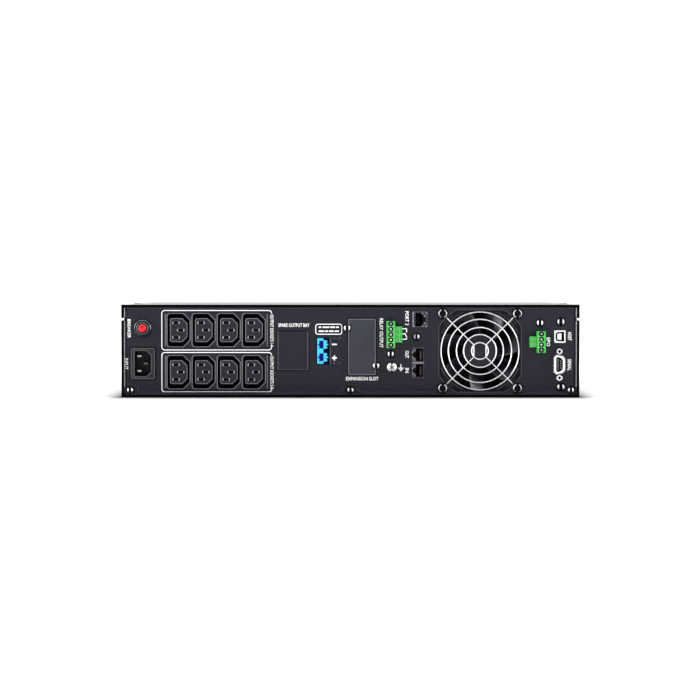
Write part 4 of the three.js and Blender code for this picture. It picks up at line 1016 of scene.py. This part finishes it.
def terminal_details(name, poles, side):
    """Screws in wells, ridges between the poles, test points and the side block's ribs; the black of the
    wells and the deep green between the poles are painted shade, and the pale green of the ridges and ribs
    is a painted highlight.
    """
    plug, strip = Spot(f"{name}_plug"), Spot(f"{name}_header").x
    origin = (strip, plug.near, plug.z)
    test_points, well_shade, ridges, ribs, gap_shade = (Form(origin) for _ in range(5))
    floor, step = 1.7, 2.0  # how deep the wells' floor and the side block's face lie
    for i in range(poles + 2):
        z = (i - (poles + 1) / 2) * TERMINAL_PITCH
        is_end = i in (0, poles + 1)
        head = slotted_screw((strip, plug.near + floor, plug.z + z), 0.95, 1.3)
        head.made(f"{name}_screw_{i + 1}", "pink_zinc" if is_end else "nickel")
        well_shade.turned([(0, floor - 0.3), (1.85, floor - 0.3), (1.85, -0.06), (2.45, -0.06),
                      (2.45, 0.05), (1.9, 0.1), (1.9, floor), (0, floor)], z=z, steps=24)
        if not is_end:
            point = [(0, 0.3), (0.5, 0.3), (0.5, -0.25), (0, -0.25)]
            test_points.turned(point, side * 2.9, z, 20)
    half = poles * TERMINAL_PITCH / 2
    for start in (5.0, 6.5, 8.0):
        ribs.box((side * start, side * (start + 0.5)), (step - 0.5, step + 0.4), (0.4 - half, half - 0.4))
    for i in range(poles + 1):
        z = (i - poles / 2) * TERMINAL_PITCH
        ridges.box((-4.0, 3.9), (-0.25, 0.5), (z - 0.2, z + 0.2))
        if 0 < i < poles:
            gap_shade.box((side * 4.2, side * 10.6), (step - 0.1, step + 0.4), (z - 0.35, z + 0.35))
    for form, word, look, bevel in (
        (well_shade, "well_shade", "black_and_painted_shade", 0.0), (test_points, "test_points", "chrome", 0.0),
        (ribs, "plug_ribs", "green_highlight", 0.12), (ridges, "pole_ridges", "green_highlight", 0.08),
        (gap_shade, "pole_gap_shade", "green_shade", 0.05),
    ):
        form.made(f"{name}_{word}", look, bevel=bevel)


terminal_details("relay", 3, 1)
terminal_details("power_off", 2, -1)


# ---------- modular jacks ----------
def jack_contacts(origin, side, span, name, look="tarnished_gold"):
    """Eight springy wires standing out of one wall of a jack's opening."""
    wires, count = Form(origin), 8
    for i in range(count):
        z = (i - (count - 1) / 2) * span / count
        wires.tube([(-side * 1.7, 0.8, z), (side * 0.3, 1.3, z), (side * 1.3, 6.5, z)], 0.34, 8)
    wires.made(name, look)


def network_details():
    """Light bits and a light rim round the network jack's stepped opening, a painted highlight; the black
    at its back and in its latch notch is painted shade.
    """
    at = Spot("network_jack")
    springs = (at.x - 3.0, at.near + 2.2, at.z - 0.3)
    jack_contacts(springs, -1, 8.4, "network_jack_contacts", "dark_contact")
    trim = Form(at.origin).surround(at.size, (-0.1, 0.6), (-1.7, 0.4), -0.25, 0.3)
    trim.made("network_jack_rim", "rim_highlight_trim", bevel=0.12)
    half, high = at.width / 2, at.height / 2
    highlight_bits = Form(at.origin).box((0.3 - half, 1.6 - half), (-0.5, 0.2), (0.8 - high, high - 0.8))
    for way in (-1, 1):
        for x, up, size in ((4.6, 3.3, 0.75), (2.4, 6.1, 0.7), (half - 1.4, high - 1.4, 0.8),
                            (1.4 - half, high - 1.4, 0.8)):
            z = way * up - 0.3
            highlight_bits.box((x - size, x + size), (-0.45, 1.2), (z - size, z + size))
    highlight_bits.made("network_jack_highlight_bits", "teeth_highlight_grey", bevel=0.15)
    dark_back = Form(at.origin).box((-4.2, 5.2), (12.0, 12.6), (-6.5, 6.0))
    dark_back.box((2.8, 5.2), (0.9, 1.4), (-3.45, 2.85)).made("network_jack_shade", "black_and_painted_shade")


def surge_details():
    """The surge jacks' middle bar and the stepped left sides of their openings, lighter than the jack as a
    painted highlight, with a light rim round both; the black at their backs and latch notches is painted
    shade.
    """
    at = Spot("surge_jack_pair")
    highlight_bits = Form()
    for i, z in enumerate((at.z + 7.6, at.z - 7.6)):
        jack_contacts((at.x + 3.4, at.near + 0.6, z), 1, 8.8, f"surge_jack_contacts_{i + 1}")
        highlight_bits.origin = (at.x, at.near, z)
        dark_back = Form(highlight_bits.origin).box((-5.0, 5.0), (12.0, 12.6), (-5.9, 5.9))
        dark_back.box((-5.0, -1.95), (0.9, 1.4), (-2.5, 2.5)).made(f"surge_jack_shade_{i + 1}", "black_and_painted_shade")
        for x, reach in ((-4.9, 2.6), (-3.3, 4.5)):
            for up in (-reach, reach):
                highlight_bits.box((x - 0.65, x + 0.65), (-0.3, 1.0), (up - 1.0, up + 1.0))
    highlight_bits.made("surge_jack_step_highlights", "teeth_highlight_grey", bevel=0.12)
    trim = Form(at.origin).surround(at.size, (-0.1, 0.6), (-1.3, 0.4), -0.25, 0.3)
    trim.made("surge_jack_rim", "rim_highlight_trim", bevel=0.12)
    half = at.width / 2 - 0.6
    bar = Form(at.origin).box((-half, half), (-0.25, 0.2), (-0.8, 0.8))
    bar.made("surge_jack_bar", "teeth_highlight_grey", bevel=0.15)


# ---------- USB and serial ports ----------
def usb_details():
    at = Spot("usb_port")
    form = Form(at.origin)
    form.band(chamfered(at.width, at.height, 0.5, side=-1), chamfered(8.2, 9.0, 1.8, side=-1), 0, 12)
    form.made("usb_shell", "plated_steel", bevel=0.3, stands_for=["usb_port"], slot="bright_metal")
    # The black lining and floor inside the shell are painted shade of its cavity.
    lining = chamfered(7.7, 8.5, 1.7, side=-1)
    dark = Form(at.origin).band(chamfered(8.15, 8.95, 1.8, side=-1), lining, 0.5, 8.6)
    dark.prism(lining, 8.0, 8.6).made("usb_cavity_shade", "black_and_painted_shade")
    tongue = Form(at.origin).prism(chamfered(4.1, 6.2, 1.0, -0.4, side=-1), 0.3, 8.1)
    tongue.made("usb_tongue", "white_plastic", bevel=0.2)


def d_outline(shrink):
    """The D of the serial port, its long side towards -X, shrunk by a margin all round."""
    half, corner = 10.8 / 2 - shrink, 1.6
    long_half, short_half = 19.1 / 2 - shrink, 15.6 / 2 - shrink
    lower = [(-half, corner - long_half), (corner - half, -long_half), (half - corner, -short_half - 0.5),
             (half, corner - short_half)]
    return lower[1:] + [(x, -z) for x, z in reversed(lower)] + lower[:1]


def serial_details():
    at = Spot("serial_port")
    lip = Form(at.origin).band(d_outline(0.5), d_outline(2.2), 0.1, 4.4)
    lip.made("serial_lip", "plated_steel", bevel=0.3)
    insert = Form(at.origin).prism(d_outline(2.25), 1.2, 4.4)
    insert.made("serial_insert", "black_and_painted_shade", bevel=0.2)
    pins = Form(at.origin)
    for x, count in ((-1.3, 5), (1.3, 4)):
        for i in range(count):
            pins.torus(0.5, 0.2, x, 1.15, (i - (count - 1) / 2) * 2.2, 20, 8)
    pins.made("serial_pins", "pin_metal")
    for level in ("upper", "lower"):
        # A black disc down each standoff's bore is painted shade of the hole.
        bore = Form(Spot(f"serial_standoff_{level}").origin)
        bore.turned([(0, 1.2), (1.3, 1.2), (1.3, 2.0), (0, 2.0)], steps=24)
        bore.made(f"serial_standoff_bore_shade_{level}", "black_and_painted_shade")


network_details()
surge_details()
usb_details()
serial_details()


# ---------- fan ----------
RING_RADII = (8.0, 15.7, 22.5, 30.3, 37.4)
WIRE = 0.62
UPRIGHT = 5.9  # from the fan's middle to each of the guard's two bent wires
BOLT_REACH = 35.75 * math.sqrt(2)
BOLT_LOOP = 3.3
BLADE_COUNT = 7
DIAGONALS = [math.pi / 4 + i * QUARTER_TURN for i in range(4)]


def fan_guard():
    """Rings, four spokes ending in bolt loops, and two wires bent round the hub."""
    at = Spot("fan_guard")
    form = Form(at.on(at.far - WIRE))
    for radius in RING_RADII:
        form.torus(radius, WIRE, y=-1.3)
    for angle in DIAGONALS:
        out = Vector((math.cos(angle), 0, math.sin(angle)))
        form.tube([out * UPRIGHT * math.sqrt(2), out * (BOLT_REACH - BOLT_LOOP)], WIRE)
        bolt = out * BOLT_REACH
        form.torus(BOLT_LOOP, WIRE, bolt.x, 0, bolt.z, 40)
    for x in (-UPRIGHT, UPRIGHT):
        form.tube([(x, 0, -UPRIGHT), (x, 0, UPRIGHT)], WIRE)
    form.made("fan_guard_wires", "guard_wire", stands_for=["fan_guard"], slot="bright_metal")


def blade(form, root, tip, turn):
    """One swept, twisted blade with a rounded thin edge: rows run outwards, columns along its chord."""
    rows, columns = 16, 14
    points = {}
    for side in (-1, 1):
        for row in range(rows):
            out = row / (rows - 1)
            radius = root + out * (tip - root)
            chord, tilt, sweep = 17 + 9 * out, 0.95 - 0.42 * out, 0.3 * out
            for column in range(columns):
                along = column / (columns - 1) - 0.5
                camber = (0.25 - along * along) * 2.6
                thick = 0.75 * math.sqrt(max(0.0, 1 - (2 * along) ** 4)) * (1 - 0.3 * out) + 0.04
                angle = turn + sweep + along * chord * math.cos(tilt) / radius
                y = along * chord * math.sin(tilt) + camber + side * thick
                x, z = radius * math.cos(angle), radius * math.sin(angle)
                points[side, row, column] = form.point(x, y, z)
    new_face = form.mesh.faces.new
    for row in range(rows - 1):
        for column in range(columns - 1):
            for side in (-1, 1):
                new_face([points[side, row + a, column + b] for a, b in ((0, 0), (1, 0), (1, 1), (0, 1))])
        for column in (0, columns - 1):
            new_face([points[s, row + a, column] for s, a in ((-1, 0), (1, 0), (1, 1), (-1, 1))])
    for column in range(columns - 1):
        for row in (0, rows - 1):
            new_face([points[s, row, column + b] for s, b in ((-1, 0), (1, 0), (1, 1), (-1, 1))])


def fan_rotor():
    at, frame_at = Spot("fan_rotor"), Spot("fan_frame")
    hub, end = 16.2, at.depth
    blades = Form(frame_at.on(frame_at.near + 11))
    for i in range(BLADE_COUNT):
        blade(blades, hub - 1.2, 37.1, i * FULL_TURN / BLADE_COUNT)
    blades.made("fan_blades", "blade_plastic", "fan_rotor", stands_for=["fan_rotor"], slot="black_plastic")
    nose = frame_at.on(at.near)
    cup = [(0, 0), (hub - 2.2, 0), (hub - 1.2, 0.15), (hub - 0.4, 0.6), (hub - 0.05, 1.3), (hub, 2.2),
           (hub, end), (hub - 1.5, end), (hub - 1.5, 2.5), (0, 2.5)]
    Form(nose).turned(cup, steps=72).made("fan_hub", "hub_plastic", "fan_rotor")
    label = [(0, -0.06), (hub - 3.4, -0.06), (hub - 3.2, 0.05), (0, 0.05)]
    Form(nose).turned(label, steps=64).made("fan_hub_disc", "hub_disc", "fan_rotor")


def fan_surround():
    """Curved ribs on the frame's corners and its mouth's raised lip, both lighter than the frame as a
    painted highlight, and the shade behind the rotor.
    """
    at = Spot("fan_frame")
    ribs = Form(at.origin)
    deepest = math.radians(21)
    for middle in DIAGONALS:
        for radius, half, wire in ((40.6, deepest, 0.5), (43.2, deepest * 0.4, 0.4)):
            angles = [middle + half * (step / 8 - 1) for step in range(17)]
            ribs.tube([(radius * math.cos(a), 0, radius * math.sin(a)) for a in angles], wire, 10)
    ribs.made("fan_frame_ribs", "frame_rib_highlight")
    outer, inner = [], []
    for cos, sin in circle(1, steps=144):
        radius = min(45.6, 39.4 / max(abs(cos), abs(sin)))
        for outline, grow in ((outer, 0.35), (inner, -0.35)):
            outline.append(((radius + grow) * cos, (radius + grow) * sin))
    Form(at.on(FACE)).band(outer, inner, -0.2, 0.2).made("fan_mouth_lip", "edge_highlight_paint")
    shade = Form(at.on(at.far + 6)).turned([(0, 0), (39, 0), (39, 0.8), (0, 0.8)])
    shade.made("fan_shade", "black_and_painted_shade")


fan_guard()
fan_rotor()
fan_surround()


# ---------- printing on the rear panel ----------
def print_labels():
    """Generic words, set where the real unit has its own: (name, words, x, z, width, height)."""
    bank_up, bank_low = Spot("outlet_bank_upper"), Spot("outlet_bank_lower")
    nut, inlet = Spot("breaker_nut"), Spot("inlet_housing")
    relay, stop = Spot("relay_header"), Spot("power_off_header")
    network, surge = Spot("network_jack"), Spot("surge_jack_pair")
    usb, serial = Spot("usb_port"), Spot("serial_port")
    blank, cover = Spot("blank_cover"), Spot("slot_cover")
    downwards = (
        ("breaker", "BREAKER", nut.x - 13.0, nut.z - 0.2, 3.0, 17.9),
        ("inlet", "INPUT", inlet.left - 4.3, inlet.z - 0.2, 3.4, 10.8),
        ("outlets_upper", "OUTPUT SOCKETS 1-4", bank_up.right + 1.9, bank_up.z - 0.4, 3.2, 30.6),
        ("outlets_lower", "OUTPUT SOCKETS 5-8", bank_low.right + 1.9, bank_low.z - 0.4, 3.2, 31.2),
        ("relay", "RELAY OUTPUT", relay.x - 8.9, relay.z + 1.3, 3.4, 27.9),
        ("network", "PORT 3", network.x - 12.4, network.z + 1.1, 3.4, 13.2),
        ("surge_upper", "OUT", surge.x - 10.4, surge.z + 8.0, 3.4, 6.9),
        ("surge_lower", "IN", surge.x - 10.4, surge.z - 7.3, 3.4, 4.4),
        ("power_off", "EPO", stop.x + 7.4, stop.z - 0.1, 3.3, 8.2),
        ("usb", "HOST", usb.x + 9.5, usb.z + 0.2, 3.4, 7.9),
        ("serial", "SERIAL", serial.x + 9.9, serial.z - 0.3, 3.4, 11.1),
    )
    across = (
        ("blank_cover", "SPARE OUTPUT BAY", blank.x + 1.0, blank.high + 5.8, 29.7, 3.4),
        ("slot_cover", "EXPANSION SLOT", cover.x + 0.7, cover.low - 3.4, 31.1, 3.4),
    )
    for labels, down in ((downwards, True), (across, False)):
        for name, words, x, z, width, height in labels:
            lettering(f"label_{name}", words, (x, FACE, z), width, height, down)


def print_notice():
    """An outlined panel of plain bars above the battery connector."""
    socket = Spot("battery_connector")
    x, z = socket.x + 6.3, socket.high + 8.7
    print_frame("notice_frame", x, z, 25.6, 10.3, 2.5, 0.7)
    rows = ((1.9, ((-9.6, -7.2), (-5.8, 0.4), (1.5, 6.0), (7.0, 9.6))),
            (-1.9, ((-9.6, -4.4), (-3.4, -0.6), (0.4, 4.6), (5.6, 9.6))))
    bars = [(start, up, end, up) for up, spans in rows for start, end in spans]
    print_lines("notice_bars", (x, FACE, z), bars, 1.25)


def print_symbols():
    socket, relay, screw = Spot("battery_connector"), Spot("relay_header"), Spot("ground_screw")
    print_lines("polarity_marks", (socket.right + 6.0, FACE, socket.z), (
        (-2.3, 6.4, 2.3, 6.4), (-2.3, -6.6, 2.3, -6.6), (0, -4.3, 0, -6.1), (0, -7.1, 0, -8.9),
    ), 1.25)
    print_lines("contact_symbol", (relay.x + 13.5, FACE, relay.z + 0.4), (
        (-2.2, 5.0, 2.2, 5.0), (1.7, 4.5, 1.7, 1.6), (-2.2, 0, 0.2, 0.2), (0.1, 0.6, 2.0, -3.2),
        (-2.2, -5.0, 2.2, -5.0), (1.7, -4.5, 1.7, -3.6),
    ), 0.9)
    print_lines("ground_symbol", (screw.x + 8.7, FACE, screw.z), (
        (0, 3.0, 0, -0.4), (-2.6, -0.8, 2.6, -0.8), (-1.6, -2.1, 1.6, -2.1), (-0.6, -3.3, 0.6, -3.3),
    ), 0.75)


print_labels()
print_notice()
print_symbols()


# ---------- front ----------
def display():
    """The lit part of the display: battery and load bars and a generic reading."""
    at = Spot("display_lens")
    face = at.on(at.far)
    Form(face).surround(at.size, (-3, 1.6), (-3.8, 1.2), *INK_FRONT).made("display_border", "grey_ink")
    bars, lights = Form(face), Form(face)
    for side, count in ((-1, 4), (1, 3)):
        for i in range(count):
            bars.prism(rounded(9, 3.4, 0.6, side * (at.width / 2 - 9), i * 5.2 - 9, 3), *INK_FRONT)
    bars.made("display_bars", "display_light")
    lettering("display_reading", "100", face, 26, 11, facing=FACING_FRONT, look="display_light")
    for x in (-10, 0, 10):
        lights.turned([(0, -0.2), (1.0, -0.2), (1.0, 0.05), (0, 0.2)], x, -at.height / 2 - 4.2, 24)
    lights.made("status_lights", "status_light")


def front_controls():
    for name, strokes in (
        ("up_key", ((-1.4, -0.7, 0, 0.9), (0, 0.9, 1.4, -0.7))),
        ("down_key", ((-1.4, 0.9, 0, -0.7), (0, -0.7, 1.4, 0.9))),
        ("enter_key", ((1.6, 1.0, 1.6, -0.4), (1.9, -0.4, -1.6, -0.4), (-1.7, -0.4, -0.8, 0.5),
                       (-1.7, -0.4, -0.8, -1.3))),
    ):
        at = Spot(name)
        print_lines(f"{name}_mark", at.on(at.far), strokes, 0.5, INK_FRONT, "grey_ink", name)
    at = Spot("power_button")
    mark = Form(at.on(at.far - 0.35))
    start, count, radius = math.pi * 0.68, 24, 3.0
    arc = [start + i * (FULL_TURN - 0.36 * math.pi) / count for i in range(count + 1)]
    mark.tube([(radius * math.cos(a), 0, radius * math.sin(a)) for a in arc], 0.32, 8)
    mark.tube([(0, 0, 1.0), (0, 0, 4.0)], 0.32, 8)
    mark.made("power_button_mark", "status_light", "power_button")


def bezel_details():
    """A shallow line round the control side and finger pulls at the door's ends."""
    door, lens, button = Spot("battery_door"), Spot("display_lens"), Spot("power_button")
    lines = Form()
    for low in (12.2, 77.1):
        lines.box((door.right + 4.0, bezel.right - 5.0), (FRONT - 0.35, FRONT), (low, low + 0.7))
    lines.made("bezel_lines", "key_plastic", bevel=0.1)
    pulls = Form()
    for x in (door.left + 8, door.right - 8):
        pulls.origin = (x, door.far, door.z)
        pulls.surround((9, 44), (0, 3), (-2.6, 1.8), -0.6, 0.3)
    pulls.made("door_pulls", "bezel_plastic", bevel=0.2)
    foam = Form((0, door.far, 0))
    foam.box((door.left + 2.6, door.right - 2.6), (-5.0, -3.1), (door.low + 2.6, door.high - 2.6))
    foam.made("door_dust_filter", "black_and_painted_shade")
    ring = [(9.0, -1.0), (9.0, 0.28), (10.0, 0.28), (10.0, -1.0)]
    Form(button.on(lens.far)).turned(ring, steps=64).made("power_button_ring", "nickel")


def side_screw(name, side, place, radius, height, turn):
    """A screw head standing out sideways from its place, with a black cross as painted shade of its recess.
    """
    head, recess = screw_head((0, 0, 0), radius, height), Form()
    cross_recess(recess, -height, radius * 0.45, turn)
    sideways = Matrix.Translation(place) @ Matrix.Rotation(side * QUARTER_TURN, 4, "Z")
    for form, word, look in ((head, "head", "black_nickel"), (recess, "recess", "black_and_painted_shade")):
        form.moved(sideways).made(f"{name}_{word}", look)


def side_screws():
    """Screws that hold the ears, and screws along the cover's skirts."""
    for side, word in ((-1, "left"), (1, "right")):
        ear = Spot(f"rack_ear_{word}")
        for i, y in enumerate((ear.near + 10, ear.near + 34, ear.near + 54)):
            for k, z in enumerate((22, 66)):
                place = (side * (shell.right + 2.3), y, z)
                side_screw(f"ear_screw_{word}_{i + 1}_{k + 1}", side, place, 3.6, 1.3, 0.4 * (i + k))
        for i, y in enumerate((-180, -60, 60)):
            place = (side * shell.right, y, 81.5)
            side_screw(f"cover_screw_{word}_{i + 1}", side, place, 3.0, 1.1, 0.7 * i)


display()
front_controls()
bezel_details()
side_screws()
